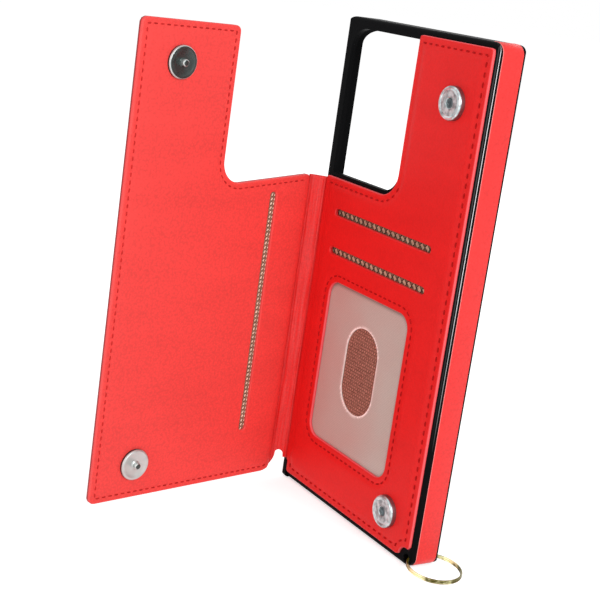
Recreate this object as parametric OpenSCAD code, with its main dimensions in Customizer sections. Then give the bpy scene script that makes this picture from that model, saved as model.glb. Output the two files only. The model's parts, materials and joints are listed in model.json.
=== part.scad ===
// Phone wallet case: a moulded tray with a leather card panel on its back, a leather
// flap that folds over the cards on a two-crease spine, magnetic snaps and a split ring.
// The tray stands upright on its lower end. X runs across the back with the fold on the
// low side, Y runs from the leather back to the open front and Z runs up.
// The origin is the middle of the lower end, in the plane that the phone's back lies on.

/* [Phone] */
// Width of the phone that the tray holds
phone_w = 75.6; // [70:0.2:82]
// Height of the phone
phone_h = 164.6; // [158:0.2:172]
// Thickness of the phone
phone_t = 8.2; // [7.4:0.1:9.4]
// Corner radius of the phone
phone_r = 8; // [7:0.5:10]
// Gap left all round the phone
phone_fit = 0.2; // [0.1:0.05:0.4]

/* [Tray] */
// Thickness of the tray's side walls
wall = 2; // [1.8:0.1:2.6]
// Thickness of the tray's back
back_t = 2; // [1.7:0.1:2.6]
// Thickness of the lip that holds the phone in
lip_t = 0.8; // [0.6:0.1:1.4]
// Reach of that lip over the phone's edge
lip_w = 1.2; // [0.8:0.1:1.6]
// Radius of the tray's corners, seen from the back
shell_r = 3.5; // [3:0.1:4]
// Radius of the tray's back edges
edge_r = 1.5; // [1.2:0.1:1.6]
// Radius of the tray's front edges
front_r = 0.7; // [0.3:0.1:0.7]

/* [Tray openings] */
// Width of the camera opening
cam_w = 38; // [30:0.5:42]
// Height of the camera opening
cam_h = 50.5; // [40:0.5:54]
// Distance of the camera opening from the tray's top
cam_top = 3.5; // [3.2:0.1:5]
// Distance of the camera opening from the fold side
cam_side = 4; // [3.6:0.1:6]
// Corner radius of the camera opening
cam_r = 8; // [5:0.5:10]
// Radius of its lower corner at the fold and of its upper corner under the panel
cam_small_r = 1; // [0.6:0.1:3]
// Distance of the side-key notch from the tray's top
key_top = 4; // [4:0.5:12]
// Length of the side-key notch
key_len = 77; // [50:0.5:78]
// Depth of side wall that stays behind the side-key notch
key_wall = 5.9; // [5.2:0.1:6.6]
// Corner radius of the side-key notch
key_r = 4.5; // [2:0.5:5]
// Width of the charging port opening
port_w = 14; // [11:0.5:18]
// Height of the charging port opening
port_h = 5.6; // [5:0.1:6]
// Width of the speaker opening
speaker_w = 13; // [8:0.5:14]
// Height of the speaker opening
speaker_h = 2.4; // [1.6:0.1:3]
// Distance between the middles of the port and the speaker
speaker_x = 18; // [17:0.5:20]
// Diameter of the microphone hole in the top
mic_d = 1.8; // [1.2:0.1:2.4]

/* [Corner lug] */
// Wall left between the lug hole and the tray's side and lower end
lug_wall = 1.1; // [0.9:0.05:1.3]
// Play of the split ring in the lug hole
lug_play = 0.23; // [0.15:0.01:0.35]
// Reach of the split ring's mean radius beyond half the tray's thickness
ring_over = 3.3; // [2.6:0.1:8]
// Thickness of the split ring's wire
ring_wire = 0.7; // [0.5:0.05:0.9]
// Angle by which the ring hangs below level
ring_rest = 3; // [0:1:40]

/* [Card panel] */
// Thickness of the panel's leather
panel_t = 1; // [0.8:0.1:1.3]
// Distance of the panel from the tray's open side
panel_side = 1.2; // [1:0.1:2]
// Distance of the panel from the tray's lower end
panel_low = 2.5; // [1.6:0.1:3]
// Distance of the panel from the tray's top
panel_top = 1.9; // [1.5:0.1:3]
// Corner radius of the panel
panel_r = 1; // [0.8:0.1:2.5]
// Distance of the panel below the camera opening
panel_cam = 1.4; // [0.8:0.1:2]
// Distance of the panel beside the camera opening
panel_cam_side = 0.5; // [0.3:0.1:1.4]
// Width of bare tray between the lug hole and the panel
lug_margin = 2; // [1.7:0.1:2.6]
// Width of a card slot
slot_w = 54.7; // [54:0.1:56]
// Height of a card slot
slot_h = 2.4; // [1.6:0.1:3]
// Middle of the card slots, from the tray's middle
slot_x = -2; // [-4:0.1:0]
// Distance from the lower card slot to the upper one
slot_step = 13.4; // [11:0.1:15]
// Thickness of a slot's woven lining
lining_t = 0.35; // [0.25:0.05:0.4]
// Width that a lining has beyond the slot, on each side
lining_over = 1.6; // [1:0.1:2.4]

/* [Identity window] */
// Width of the window
win_w = 46.2; // [40:0.2:48]
// Height of the window
win_h = 56.6; // [50:0.2:57]
// Middle of the window, from the tray's middle
win_x = -3.2; // [-5:0.1:-1]
// Height of the window's lower edge
win_z = 22; // [21:0.1:24]
// Distance of the lower card slot above the window
win_gap = 9; // [7:0.1:11]
// Corner radius of the window
win_r = 5; // [3:0.5:8]
// Thickness of the window film
film_t = 0.3; // [0.2:0.05:0.35]
// Width of film behind the leather, round the window
film_over = 2.4; // [1.5:0.1:2.6]
// Depth of the card pockets below the film
pocket_low = 1.4; // [1:0.1:2]
// Width of the oval thumb hole in the film
thumb_w = 18; // [14:0.5:22]
// Height of the oval thumb hole
thumb_h = 30.4; // [24:0.2:36]
// Height of the thumb hole's middle above the window's middle
thumb_up = 1.8; // [0:0.1:4]

/* [Snaps] */
// Distance of the snaps from the tray's middle
snap_x = 24.9; // [24:0.1:27]
// Height of the lower snap
snap_low = 13.9; // [10:0.1:14]
// Distance of the upper snap from the tray's top
snap_top = 20.4; // [17:0.1:29]
// Diameter of a snap socket
snap_d = 10.8; // [10:0.1:12.4]
// Height of a snap socket above the panel
snap_h = 2.3; // [2:0.05:2.5]
// Diameter of the hole in a socket
socket_d = 4.4; // [4:0.1:5]
// Thickness of the socket's drawn cap
cap_t = 0.4; // [0.3:0.05:0.5]
// Thickness of the socket's base plate
base_t = 0.5; // [0.4:0.05:0.6]
// Diameter of a snap's rivet post
post_d = 3; // [2.4:0.1:3.4]
// Diameter of the washer behind a snap
washer_d = 7.6; // [6.4:0.1:7.8]
// Thickness of that washer
washer_t = 0.4; // [0.3:0.05:0.4]
// Diameter of the plate that carries a stud
stud_plate_d = 10.8; // [10:0.1:12.4]
// Thickness of that plate
stud_plate_t = 1.4; // [1.1:0.05:1.5]
// Diameter of the stud
stud_d = 2.4; // [2:0.1:2.8]
// Height of the stud above its plate
stud_h = 1.5; // [1:0.05:1.8]

/* [Fold] */
// Distance of the panel's crease from the tray's fold side
crease_side = 1.6; // [1.5:0.05:2]
// Distance between the spine's two creases
spine_w = 5.6; // [5.5:0.1:7]
// Thickness of one of the spine's two leathers
spine_t = 0.6; // [0.4:0.05:0.65]
// Thickness of one leather where it is pressed thin at a crease
crease_t = 0.25; // [0.15:0.05:0.25]
// Height of the spine's lower end
spine_low = 7.2; // [6:0.1:14]
// Height of the round-topped notch in the spine's lower end
arch_h = 2.6; // [2:0.1:6]
// Width of the tray's corner pad below the spine, from the tray's side
pad_w = 3.1; // [2.4:0.1:4]
// Gap between the spine's lower end and that pad
pad_gap = 0.5; // [0.4:0.1:1]
// Distance of the spine's top below the flap's notch
spine_top = 0.2; // [0.1:0.1:2]
// Angle that each crease is folded, from lying flat
fold_rest = 50; // [0:1:90]

/* [Flap] */
// Thickness of one of the flap's two leathers
flap_skin = 0.7; // [0.6:0.05:0.8]
// Thickness of the board between them
board_t = 0.8; // [0.7:0.05:1]
// Distance that the closed flap reaches past the tray's open side
flap_over = 1.1; // [0:0.1:3]
// Distance of the flap's lower edge from the tray's lower end
flap_low = 1.8; // [0.6:0.1:4]
// Distance of the flap's top edge from the tray's top
flap_top = 7.4; // [4:0.1:10]
// Radius of the flap's corners
flap_r = 2; // [1:0.1:4]
// Radius of the flap's lower corner at the fold
flap_fold_r = 4.5; // [4:0.5:7.5]
// Distance of the flap's notch below the camera opening, at the notch's inside corner
notch_drop = 6; // [4:0.1:9]
// Height by which the notch's lower edge rises towards the fold
notch_rise = 4; // [0:0.5:5]
// Distance of the flap's notch beside the camera opening
notch_side = 0.2; // [0:0.1:2]
// Inside radius of the flap's notch
notch_r = 8.5; // [4:0.5:12]
// Distance of the flap's pocket slit from the fold
slit_s = 17.2; // [14:0.1:19]
// Width of the pocket slit
slit_w = 2.1; // [1.4:0.1:2.4]
// Distance of the slit's lower end above the lower snap
slit_up = 5.6; // [5.4:0.1:9]
// Distance of the slit's upper end below the flap's notch
slit_top = 2.3; // [2:0.1:6]
// Width of pocket lining beyond the slit
pocket_edge = 1; // [0.6:0.1:1.2]
// Depth of the flap's pocket, from the slit
pocket_depth = 55.6; // [54.5:0.1:57]

/* [Side strips] */
// Thickness of a side strip's leather
strip_t = 0.6; // [0.4:0.05:0.7]
// Height that a strip stands proud of the wall
strip_proud = 0.1; // [0:0.05:0.2]
// Distance of a strip from the tray's back
strip_back = 1.8; // [1.7:0.1:2.4]
// Distance of a strip from the tray's front
strip_front = 0.9; // [0.8:0.1:1.6]
// Reach of a strip round the tray's corners
strip_wrap = 1.8; // [1.2:0.1:2.4]
// Reach of the open side's strip over the tray's top
strip_over = 5; // [3.6:0.1:8]
// Distance of the strip from the side-key notch
strip_key = 1.2; // [0.8:0.1:1.6]

/* [Hidden] */
$fn = 48;
cut = 1;
fit = 0.1;
tray_w = phone_w + 2 * phone_fit;
tray_h = phone_h + 2 * phone_fit;
shell_w = tray_w + 2 * wall;
shell_h = tray_h + 2 * wall;
shell_d = back_t + phone_t + lip_t;
side_x = shell_w / 2;
y_tray = 0;
y_back = y_tray - back_t;
y_front = y_back + shell_d;
y_mid = (y_back + y_front) / 2;
y_panel = y_back - panel_t;
cam_x0 = -side_x + cam_side;
cam_x1 = cam_x0 + cam_w;
cam_z1 = shell_h - cam_top;
cam_z0 = cam_z1 - cam_h;
key_z1 = shell_h - key_top;
key_z0 = key_z1 - key_len;
key_y = y_back + key_wall;
key_inner = wall + phone_r;
port_y = y_tray + phone_t / 2;

// Card pockets: the film and two linings fill a seat that is sunk in the tray's back
slot_z = win_z + win_h + win_gap;
pocket_z0 = win_z - film_over - pocket_low;
seat_d = film_t + 2 * lining_t;
lining_w = slot_w + 2 * lining_over;
low_lining_z1 = slot_z + slot_step - slot_h;
high_lining_z1 = slot_z + slot_step + slot_h + 2 * lining_over;
thumb_z = win_z + win_h / 2 + thumb_up;

// Fold: both creases lie in the middle of the leathers that they join
lip_gap = 0.45;
spine_gap = 1.1;
flap_gap = 1.2;
crease_x = -side_x + crease_side;
crease_y = y_panel + crease_t;
fold_x = crease_x - spine_w * cos(fold_rest);
fold_y = crease_y - spine_w * sin(fold_rest);
flap_t = 2 * flap_skin + board_t;
flap_w = shell_w - crease_side + flap_over;
flap_z1 = shell_h - flap_top;
notch_z = cam_z0 - notch_drop;
notch_s = cam_x1 + notch_side - crease_x;
fold_z1 = notch_z + notch_rise;
spine_z1 = fold_z1 - spine_top;
snap_high = shell_h - snap_top;
snap_s = snap_x - crease_x;
slit_z0 = snap_low + slit_up;
slit_z1 = notch_z - slit_top;
pocket_s0 = slit_s - slit_w / 2 - pocket_edge;
board_inset = 0.6;
lining_seat = 0.3;
panel_x0 = crease_x + lip_gap;
panel_x1 = side_x - panel_side;
panel_z1 = shell_h - panel_top;
arch_d = spine_w - 2 * spine_gap - 4 * fit;
fold_z0 = max(spine_low + arch_h - arch_d / 2, flap_low + flap_fold_r);
pad_x1 = -side_x + pad_w;
pad_h = spine_low - pad_gap;
strip_seat = strip_t - strip_proud;
strip_len = shell_d - strip_back - strip_front;

// Split ring: its bowed stretch through the lug hole lies evenly about the hole's axis
ring_r = shell_d / 2 + ring_over;
ring_chord = sqrt(ring_r * ring_r - shell_d * shell_d / 4);
ring_reach = (ring_r + ring_chord) / 2;
ring_bow = (ring_r - ring_chord) / 2;
ring_turn = 0.9 * ring_wire;
lug_r = sqrt(ring_bow * ring_bow + ring_turn * ring_turn / 4) + ring_wire / 2 + lug_play;
lug_x = side_x - lug_r - lug_wall;
lug_z = lug_r + lug_wall;
lug_clear = lug_r + lug_margin;

tpu_black = "#141416";
leather_red = "#DD2B2B";
leather_bright = "#F04A46";
lining_brown = "#A58873";
film_grey = "#B9A39A";
chrome_grey = "#C9CBD0";
steel_grey = "#8E9196";
magnet_grey = "#4A4C50";
board_grey = "#9C948A";
ring_gold = "#D9C67A";

// A flat outline with rounded corners, from true arcs
module rounded(x0, z0, x1, z1, r) {
  translate([x0 + r, z0])
    square([x1 - x0 - 2 * r, z1 - z0]);
  translate([x0, z0 + r])
    square([x1 - x0, z1 - z0 - 2 * r]);
  for (x = [x0 + r, x1 - r], z = [z0 + r, z1 - r])
    translate([x, z])
      circle(r = r);
}

// An outline in X and Z, given a thickness along Y
module sheet(y0, t) {
  translate([0, y0 + t, 0])
    rotate([90, 0, 0])
      linear_extrude(height = t)
        children();
}

// An outline in Y and Z, given a thickness along X
module side_sheet(x0, t) {
  translate([x0, 0, 0])
    rotate([90, 0, 90])
      linear_extrude(height = t)
        children();
}

// A block with a column on its far side, joined by an inside radius; the block's top
// rises by rise from the column to the block's near side
module step_outline(x0, z0, x1, z1, step_x, step_z, r, inner_r, rise) {
  lean = atan(rise / (step_x - x0));
  reach = inner_r * (1 + sin(lean)) / cos(lean);
  rounded(step_x, z0, x1, z1, r);
  rounded(x0, z0, x1, step_z - inner_r, r);
  difference() {
    polygon([
      [x0, z0 + r], [step_x + r, z0 + r], [step_x + r, step_z + reach],
      [step_x - inner_r, step_z + reach],
      [step_x - reach * cos(lean), step_z + reach * sin(lean)], [x0, step_z + rise]
    ]);
    translate([step_x - inner_r, step_z + reach])
      circle(r = inner_r);
  }
}

// A round hole along Y
module y_hole(x, z, d) {
  translate([x, 0, z])
    rotate([90, 0, 0])
      cylinder(d = d, h = 2 * shell_d, center = true);
}

// The tray's edges: the back edges are rounder than the front ones
module edge_profile(x0, x1) {
  translate([x0 + edge_r, y_back])
    square([x1 - x0 - 2 * edge_r, shell_d - front_r]);
  translate([x0, y_back + edge_r])
    square([x1 - x0, shell_d - edge_r - front_r]);
  translate([x0 + front_r, y_back + edge_r])
    square([x1 - x0 - 2 * front_r, shell_d - edge_r]);
  for (x = [x0 + edge_r, x1 - edge_r])
    translate([x, y_back + edge_r])
      circle(r = edge_r);
  for (x = [x0 + front_r, x1 - front_r])
    translate([x, y_front - front_r])
      circle(r = front_r);
}

// The tray's outside, rounded along all its edges
module shell_block() {
  intersection() {
    sheet(y_back, shell_d)
      rounded(-side_x, 0, side_x, shell_h, shell_r);
    linear_extrude(height = shell_h)
      edge_profile(-side_x, side_x);
    translate([-side_x, 0, shell_h])
      rotate([0, 90, 0])
        linear_extrude(height = shell_w)
          edge_profile_upright();
  }
}

// The same edges, turned to run across the tray
module edge_profile_upright() {
  edge_profile(0, shell_h);
}

// The space for the phone and the opening that it is pushed through
module tray_space() {
  sheet(y_tray, phone_t)
    rounded(-tray_w / 2, wall, tray_w / 2, shell_h - wall, phone_r);
  sheet(y_tray + phone_t - cut / 2, lip_t + cut)
    rounded(-tray_w / 2 + lip_w, wall + lip_w, tray_w / 2 - lip_w, shell_h - wall - lip_w,
            phone_r - lip_w);
}

// The camera opening, right through the back
module camera_opening() {
  sheet(y_back - cut, back_t + 2 * cut)
    union() {
      rounded(cam_x0, cam_z0, cam_x1, cam_z1, cam_r);
      rounded(cam_x0, cam_z0, cam_x1 - cam_r, cam_z1 - cam_r, cam_small_r);
      rounded(cam_x0 + cam_r, cam_z0 + cam_r, cam_x1, cam_z1, cam_small_r);
    }
}

// The notch for the side keys, cut down from the front of the fold side
module key_notch() {
  side_sheet(-side_x - cut, key_inner + 2 * cut)
    rounded(key_y, key_z0, y_front + 2 * key_r, key_z1, key_r);
}

// Openings in the lower end and the microphone hole in the top
module end_openings() {
  translate([0, 0, -cut])
    linear_extrude(height = wall + 2 * cut)
      union() {
        rounded(-port_w / 2, port_y - port_h / 2, port_w / 2, port_y + port_h / 2, port_h / 2 - fit);
        rounded(speaker_x - speaker_w / 2, port_y - speaker_h / 2,
                speaker_x + speaker_w / 2, port_y + speaker_h / 2, speaker_h / 2 - fit);
      }
  translate([speaker_x, port_y, shell_h - wall - cut])
    cylinder(d = mic_d, h = wall + 2 * cut);
}

// The band of wall that a side strip covers, between its face and its seat
module strip_band(side, proud) {
  intersection() {
    difference() {
      rounded(-side_x - proud, -proud, side_x + proud, shell_h + proud, shell_r + proud);
      rounded(-side_x + strip_seat, strip_seat, side_x - strip_seat, shell_h - strip_seat,
              shell_r - strip_seat);
    }
    strip_reach(side);
  }
}

// The reach of a strip round the corners; the open side's strip also goes over the top
module strip_reach(side) {
  translate([side > 0 ? side_x - strip_wrap : -side_x - cut, -cut])
    square([strip_wrap + cut, shell_h + 2 * cut]);
  if (side > 0)
    translate([side_x - strip_over, shell_h / 2])
      square([strip_over + cut, shell_h / 2 + cut]);
}

// The key notch, widened so that the strip stays clear of it
module strip_notch() {
  side_sheet(-side_x - cut, strip_wrap + 2 * cut)
    rounded(key_y - strip_key, key_z0 - strip_key, y_front + 2 * key_r, key_z1 + strip_key,
            key_r + strip_key);
}

// Seats for the strips, for the card pockets and for the washers behind the sockets
module tray_seats() {
  sheet(y_back + strip_back, strip_len)
    strip_band(1, cut / 2);
  difference() {
    sheet(y_back + strip_back, strip_len)
      strip_band(-1, cut / 2);
    strip_notch();
  }
  sheet(y_back - cut, seat_d + cut)
    rounded(slot_x - lining_w / 2, pocket_z0, slot_x + lining_w / 2, high_lining_z1, 1);
  for (z = [snap_low, snap_high])
    sheet(y_back - cut, 2 * washer_t + fit + cut)
      translate([snap_x, z])
        circle(d = washer_d + 2 * fit);
}

// The tray's lower corner beside the fold, which stands level with the panel's leather
module corner_pad() {
  intersection() {
    translate([0, -panel_t, 0])
      shell_block();
    translate([-side_x - cut, y_panel - cut, -cut])
      cube([pad_w + cut, panel_t + edge_r + cut, pad_h + cut]);
  }
}

module phone_shell() {
  color(tpu_black)
    difference() {
      union() {
        shell_block();
        corner_pad();
      }
      tray_space();
      camera_opening();
      key_notch();
      end_openings();
      tray_seats();
      y_hole(lug_x, lug_z, 2 * lug_r);
    }
}

module side_strip_open() {
  color(leather_bright)
    sheet(y_back + strip_back, strip_len)
      strip_band(1, strip_proud);
}

module side_strip_fold() {
  color(leather_bright)
    difference() {
      sheet(y_back + strip_back, strip_len)
        strip_band(-1, strip_proud);
      strip_notch();
    }
}

// A card slot in the panel's leather
module slot_cut(z) {
  rounded(slot_x - slot_w / 2, z, slot_x + slot_w / 2, z + slot_h, slot_h / 2 - fit);
}

module back_leather() {
  color(leather_red)
    difference() {
      sheet(y_panel, panel_t)
        difference() {
          step_outline(panel_x0, panel_low, panel_x1, panel_z1, cam_x1 + panel_cam_side,
                       cam_z0 - panel_cam, panel_r, cam_r + panel_cam_side, 0);
          slot_cut(slot_z);
          slot_cut(slot_z + slot_step);
          rounded(win_x - win_w / 2, win_z, win_x + win_w / 2, win_z + win_h, win_r);
          translate([lug_x, lug_z])
            circle(r = lug_clear);
          translate([lug_x, -cut])
            square([lug_clear + cut, lug_z + lug_clear + cut]);
          translate([panel_x0 - cut, -cut])
            square([pad_x1 + fit - panel_x0 + cut, pad_h + fit + cut]);
        }
      for (z = [snap_low, snap_high])
        y_hole(snap_x, z, post_d + 2 * fit);
    }
}

// A woven lining behind a slot, counted from the bottom of the seat
module slot_lining(layer, z1) {
  color(lining_brown)
    sheet(y_back + seat_d - (layer + 1) * lining_t, lining_t)
      rounded(slot_x - lining_w / 2, pocket_z0, slot_x + lining_w / 2, z1, 1);
}

module slot_lining_upper() {
  slot_lining(0, high_lining_z1);
}

module slot_lining_lower() {
  slot_lining(1, low_lining_z1);
}

module window_film() {
  color(film_grey)
    sheet(y_back, film_t)
      difference() {
        rounded(win_x - win_w / 2 - film_over, win_z - film_over, win_x + win_w / 2 + film_over,
                win_z + win_h + film_over, win_r);
        rounded(win_x - thumb_w / 2, thumb_z - thumb_h / 2, win_x + thumb_w / 2,
                thumb_z + thumb_h / 2, thumb_w / 2 - fit);
      }
}

// Parts of a snap stand on the panel, with their own Z away from the leather
module on_panel(z) {
  translate([snap_x, y_panel, z])
    rotate([90, 0, 0])
      children();
}

// The drawn cap that covers the magnet, with a rounded rim
module snap_cap(z) {
  r = snap_d / 2;
  rim = 2 * cap_t;
  color(chrome_grey)
    on_panel(z)
      rotate_extrude()
        difference() {
          union() {
            translate([socket_d / 2, base_t])
              square([r - rim - socket_d / 2, snap_h - base_t]);
            translate([socket_d / 2, base_t])
              square([r - socket_d / 2, snap_h - rim - base_t]);
            translate([r - rim, snap_h - rim])
              circle(r = rim);
          }
          translate([0, base_t - cut])
            square([r - cap_t, snap_h - base_t - cap_t + cut - rim]);
          translate([0, base_t - cut])
            square([r - rim, snap_h - base_t - cap_t + cut]);
        }
}

module snap_cap_upper() {
  snap_cap(snap_high);
}

module snap_cap_lower() {
  snap_cap(snap_low);
}

// The ring magnet inside the cap, round the hole that takes the stud
module snap_magnet(z) {
  color(magnet_grey)
    on_panel(z)
      translate([0, 0, base_t])
        difference() {
          cylinder(r = snap_d / 2 - 2 * cap_t - fit, h = snap_h - base_t - cap_t);
          translate([0, 0, -cut])
            cylinder(d = socket_d + 4 * fit, h = snap_h + 2 * cut);
        }
}

module snap_magnet_upper() {
  snap_magnet(snap_high);
}

module snap_magnet_lower() {
  snap_magnet(snap_low);
}

// The socket's base plate, with the rivet post that goes through leather and washer
module snap_base(z) {
  color(steel_grey)
    on_panel(z) {
      cylinder(d = snap_d, h = base_t);
      translate([0, 0, -panel_t - 2 * washer_t])
        cylinder(d = post_d, h = panel_t + 2 * washer_t + base_t / 2);
    }
}

module snap_base_upper() {
  snap_base(snap_high);
}

module snap_base_lower() {
  snap_base(snap_low);
}

// A washer that the rivet post is spread over
module washer() {
  translate([0, 0, -washer_t])
    difference() {
      cylinder(d = washer_d, h = washer_t);
      translate([0, 0, -cut])
        cylinder(d = post_d + 2 * fit, h = washer_t + 2 * cut);
    }
}

module snap_washer(z) {
  color(steel_grey)
    on_panel(z)
      translate([0, 0, -panel_t])
        washer();
}

module snap_washer_upper() {
  snap_washer(snap_high);
}

module snap_washer_lower() {
  snap_washer(snap_low);
}

// The spine's own frame: X from the panel's crease to the flap's, Y to the inner face
module spine_frame() {
  translate([crease_x, crease_y, 0])
    rotate([0, 0, 180 + fold_rest])
      children();
}

// The flap's own frame: X from its crease to its free edge, Y to the inner face
module flap_frame() {
  translate([fold_x, fold_y, 0])
    rotate([0, 0, 180 + 2 * fold_rest])
      children();
}

// One leather of the spine, pressed thin towards both creases, on side +1 or -1;
// the notch in its lower end is open towards the flap
module spine_leather(side) {
  color(leather_bright)
    spine_frame()
      difference() {
        union() {
          sheet(side > 0 ? 0 : -spine_t, spine_t)
            translate([spine_gap, spine_low])
              square([spine_w - 2 * spine_gap, spine_z1 - spine_low]);
          sheet(side > 0 ? 0 : -crease_t, crease_t)
            translate([lip_gap, spine_low])
              square([spine_w - 2 * lip_gap, spine_z1 - spine_low]);
        }
        y_hole(spine_w / 2, spine_low + arch_h - arch_d / 2, arch_d);
        translate([spine_w / 2 - arch_d / 2, -shell_d, spine_low - cut])
          cube([spine_w, 2 * shell_d, arch_h - arch_d / 2 + cut]);
      }
}

module spine_outer_leather() {
  spine_leather(-1);
}

module spine_inner_leather() {
  spine_leather(1);
}

// The flap's outline, drawn in from its edges by inset
module flap_outline(inset) {
  x0 = flap_gap + inset;
  z0 = flap_low + inset;
  difference() {
    step_outline(x0, z0, flap_w - inset, flap_z1 - inset, notch_s + inset, notch_z - inset,
                 flap_r, notch_r, notch_rise);
    difference() {
      translate([x0 - cut, z0 - cut])
        square(flap_fold_r + cut);
      translate([x0 + flap_fold_r, z0 + flap_fold_r])
        circle(r = flap_fold_r);
    }
  }
}

// The folded edge that brings a flap leather in to its crease, on side +1 or -1
module flap_fold_edge(side) {
  z0 = flap_low + flap_fold_r;
  z1 = fold_z1;
  sheet(side > 0 ? 0 : -flap_t / 2, flap_t / 2)
    translate([flap_gap, z0])
      square([board_inset - fit, z1 - z0]);
  sheet(side > 0 ? 0 : -crease_t, crease_t)
    translate([lip_gap, fold_z0])
      square([flap_gap, z1 - fold_z0]);
}

module flap_outer_leather() {
  color(leather_red)
    flap_frame() {
      sheet(-flap_t / 2, flap_skin)
        flap_outline(0);
      flap_fold_edge(-1);
    }
}

// The woven lining of the flap's pocket
module pocket_outline(grow) {
  translate([pocket_s0 - grow, slit_z0 - pocket_edge - grow])
    square([pocket_depth + 2 * grow, slit_z1 - slit_z0 + 2 * pocket_edge + 2 * grow]);
}

module flap_board() {
  color(board_grey)
    flap_frame()
      difference() {
        sheet(-board_t / 2, board_t)
          flap_outline(board_inset);
        sheet(board_t / 2 - lining_seat, lining_seat + cut)
          pocket_outline(fit);
        for (z = [snap_low, snap_high])
          y_hole(snap_s, z, washer_d + 2 * fit);
      }
}

module flap_inner_leather() {
  color(leather_bright)
    flap_frame()
      difference() {
        union() {
          sheet(board_t / 2, flap_skin)
            flap_outline(0);
          flap_fold_edge(1);
        }
        sheet(0, flap_t)
          rounded(slit_s - slit_w / 2, slit_z0, slit_s + slit_w / 2, slit_z1, slit_w / 2 - fit);
        for (z = [snap_low, snap_high])
          y_hole(snap_s, z, post_d + 2 * fit);
      }
}

module flap_pocket_lining() {
  color(lining_brown)
    flap_frame()
      sheet(board_t / 2 - lining_seat, lining_seat)
        pocket_outline(0);
}

// Parts of a stud stand on the flap's inner face, with their own Z away from the leather
module on_flap(z) {
  flap_frame()
    translate([snap_s, flap_t / 2, z])
      rotate([-90, 0, 0])
        children();
}

// A stud in the middle of a dished plate, with the rivet post behind it
module stud(z) {
  r = stud_plate_d / 2;
  rim = stud_plate_t / 3;
  tip = stud_plate_t + stud_h;
  color(chrome_grey)
    on_flap(z) {
      rotate_extrude()
        polygon([
          [0, 0], [r, 0], [r, stud_plate_t - rim], [r - rim, stud_plate_t],
          [r - 2 * rim, stud_plate_t], [stud_d / 2 + rim, stud_plate_t - rim],
          [stud_d / 2, stud_plate_t - rim], [stud_d / 2, tip - rim],
          [stud_d / 2 - rim, tip], [0, tip]
        ]);
      translate([0, 0, -flap_skin - washer_t])
        cylinder(d = post_d, h = flap_skin + washer_t + rim);
    }
}

module stud_upper() {
  stud(snap_high);
}

module stud_lower() {
  stud(snap_low);
}

module stud_washer(z) {
  color(steel_grey)
    on_flap(z)
      translate([0, 0, -flap_skin])
        washer();
}

module stud_washer_upper() {
  stud_washer(snap_high);
}

module stud_washer_lower() {
  stud_washer(snap_low);
}

// The split ring: two turns of wire pressed together, through the lug hole
module lanyard_ring() {
  color(ring_gold)
    translate([lug_x, y_mid, lug_z])
      rotate([0, ring_rest, 0])
        translate([ring_reach, 0, 0])
          rotate_extrude($fn = 96)
            for (turn = [-1, 1])
              translate([ring_r, turn * ring_turn / 2])
                circle(d = ring_wire);
}

phone_shell();
side_strip_open();
side_strip_fold();
back_leather();
slot_lining_upper();
slot_lining_lower();
window_film();
snap_cap_upper();
snap_cap_lower();
snap_magnet_upper();
snap_magnet_lower();
snap_base_upper();
snap_base_lower();
snap_washer_upper();
snap_washer_lower();
spine_outer_leather();
spine_inner_leather();
flap_outer_leather();
flap_board();
flap_inner_leather();
flap_pocket_lining();
stud_upper();
stud_lower();
stud_washer_upper();
stud_washer_lower();
lanyard_ring();
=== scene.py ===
# %% [markdown]
# # A red leather phone wallet case
# The imported CAD frame gives every piece its place and its joints. This lesson loads that frame and
# dresses it: grained leather sheets with turned edges and real stitches, a creased spine, woven
# linings, a frosted window, chrome snaps and a gold split ring.

import json
import math

import bmesh
import bpy
import numpy as np
from mathutils import Matrix, Vector


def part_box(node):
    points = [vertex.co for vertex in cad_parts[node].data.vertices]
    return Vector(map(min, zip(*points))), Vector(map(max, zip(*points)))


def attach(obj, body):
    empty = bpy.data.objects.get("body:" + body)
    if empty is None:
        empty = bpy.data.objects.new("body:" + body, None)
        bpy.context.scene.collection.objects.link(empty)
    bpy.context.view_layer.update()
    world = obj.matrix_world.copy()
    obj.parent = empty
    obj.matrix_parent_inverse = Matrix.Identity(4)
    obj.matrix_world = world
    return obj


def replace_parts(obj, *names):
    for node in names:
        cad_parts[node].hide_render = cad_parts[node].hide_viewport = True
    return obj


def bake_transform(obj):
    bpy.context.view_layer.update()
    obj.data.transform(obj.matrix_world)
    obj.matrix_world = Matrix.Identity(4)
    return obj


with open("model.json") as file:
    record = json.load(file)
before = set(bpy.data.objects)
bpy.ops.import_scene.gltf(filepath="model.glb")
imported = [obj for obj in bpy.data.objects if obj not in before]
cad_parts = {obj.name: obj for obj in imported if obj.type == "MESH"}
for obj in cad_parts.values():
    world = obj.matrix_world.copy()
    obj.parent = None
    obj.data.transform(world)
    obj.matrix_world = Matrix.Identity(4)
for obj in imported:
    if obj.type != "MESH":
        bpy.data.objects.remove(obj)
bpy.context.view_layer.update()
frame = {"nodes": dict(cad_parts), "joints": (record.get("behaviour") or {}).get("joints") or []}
MM = 0.001

# %% [markdown]
# ## Measures
# All is counted in millimetres, and the main places are measured in the frame, so that what is built
# here fits it. The leather panel lies flat on the tray. The spine leaves it at the first crease and the
# flap leaves the spine at the second one, each turned by the same angle, so the two crease points give
# the flap's own directions.

# %% Measure the frame
def node_box(node):
    lo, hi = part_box(node)
    return np.array(lo) / MM, np.array(hi) / MM


def node_points(node):
    return np.array([v.co for v in frame["nodes"][node].data.vertices]) / MM


def joint_point(name):
    return np.array(next(j["pos_m"] for j in frame["joints"] if j["name"] == name)) / MM


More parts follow.
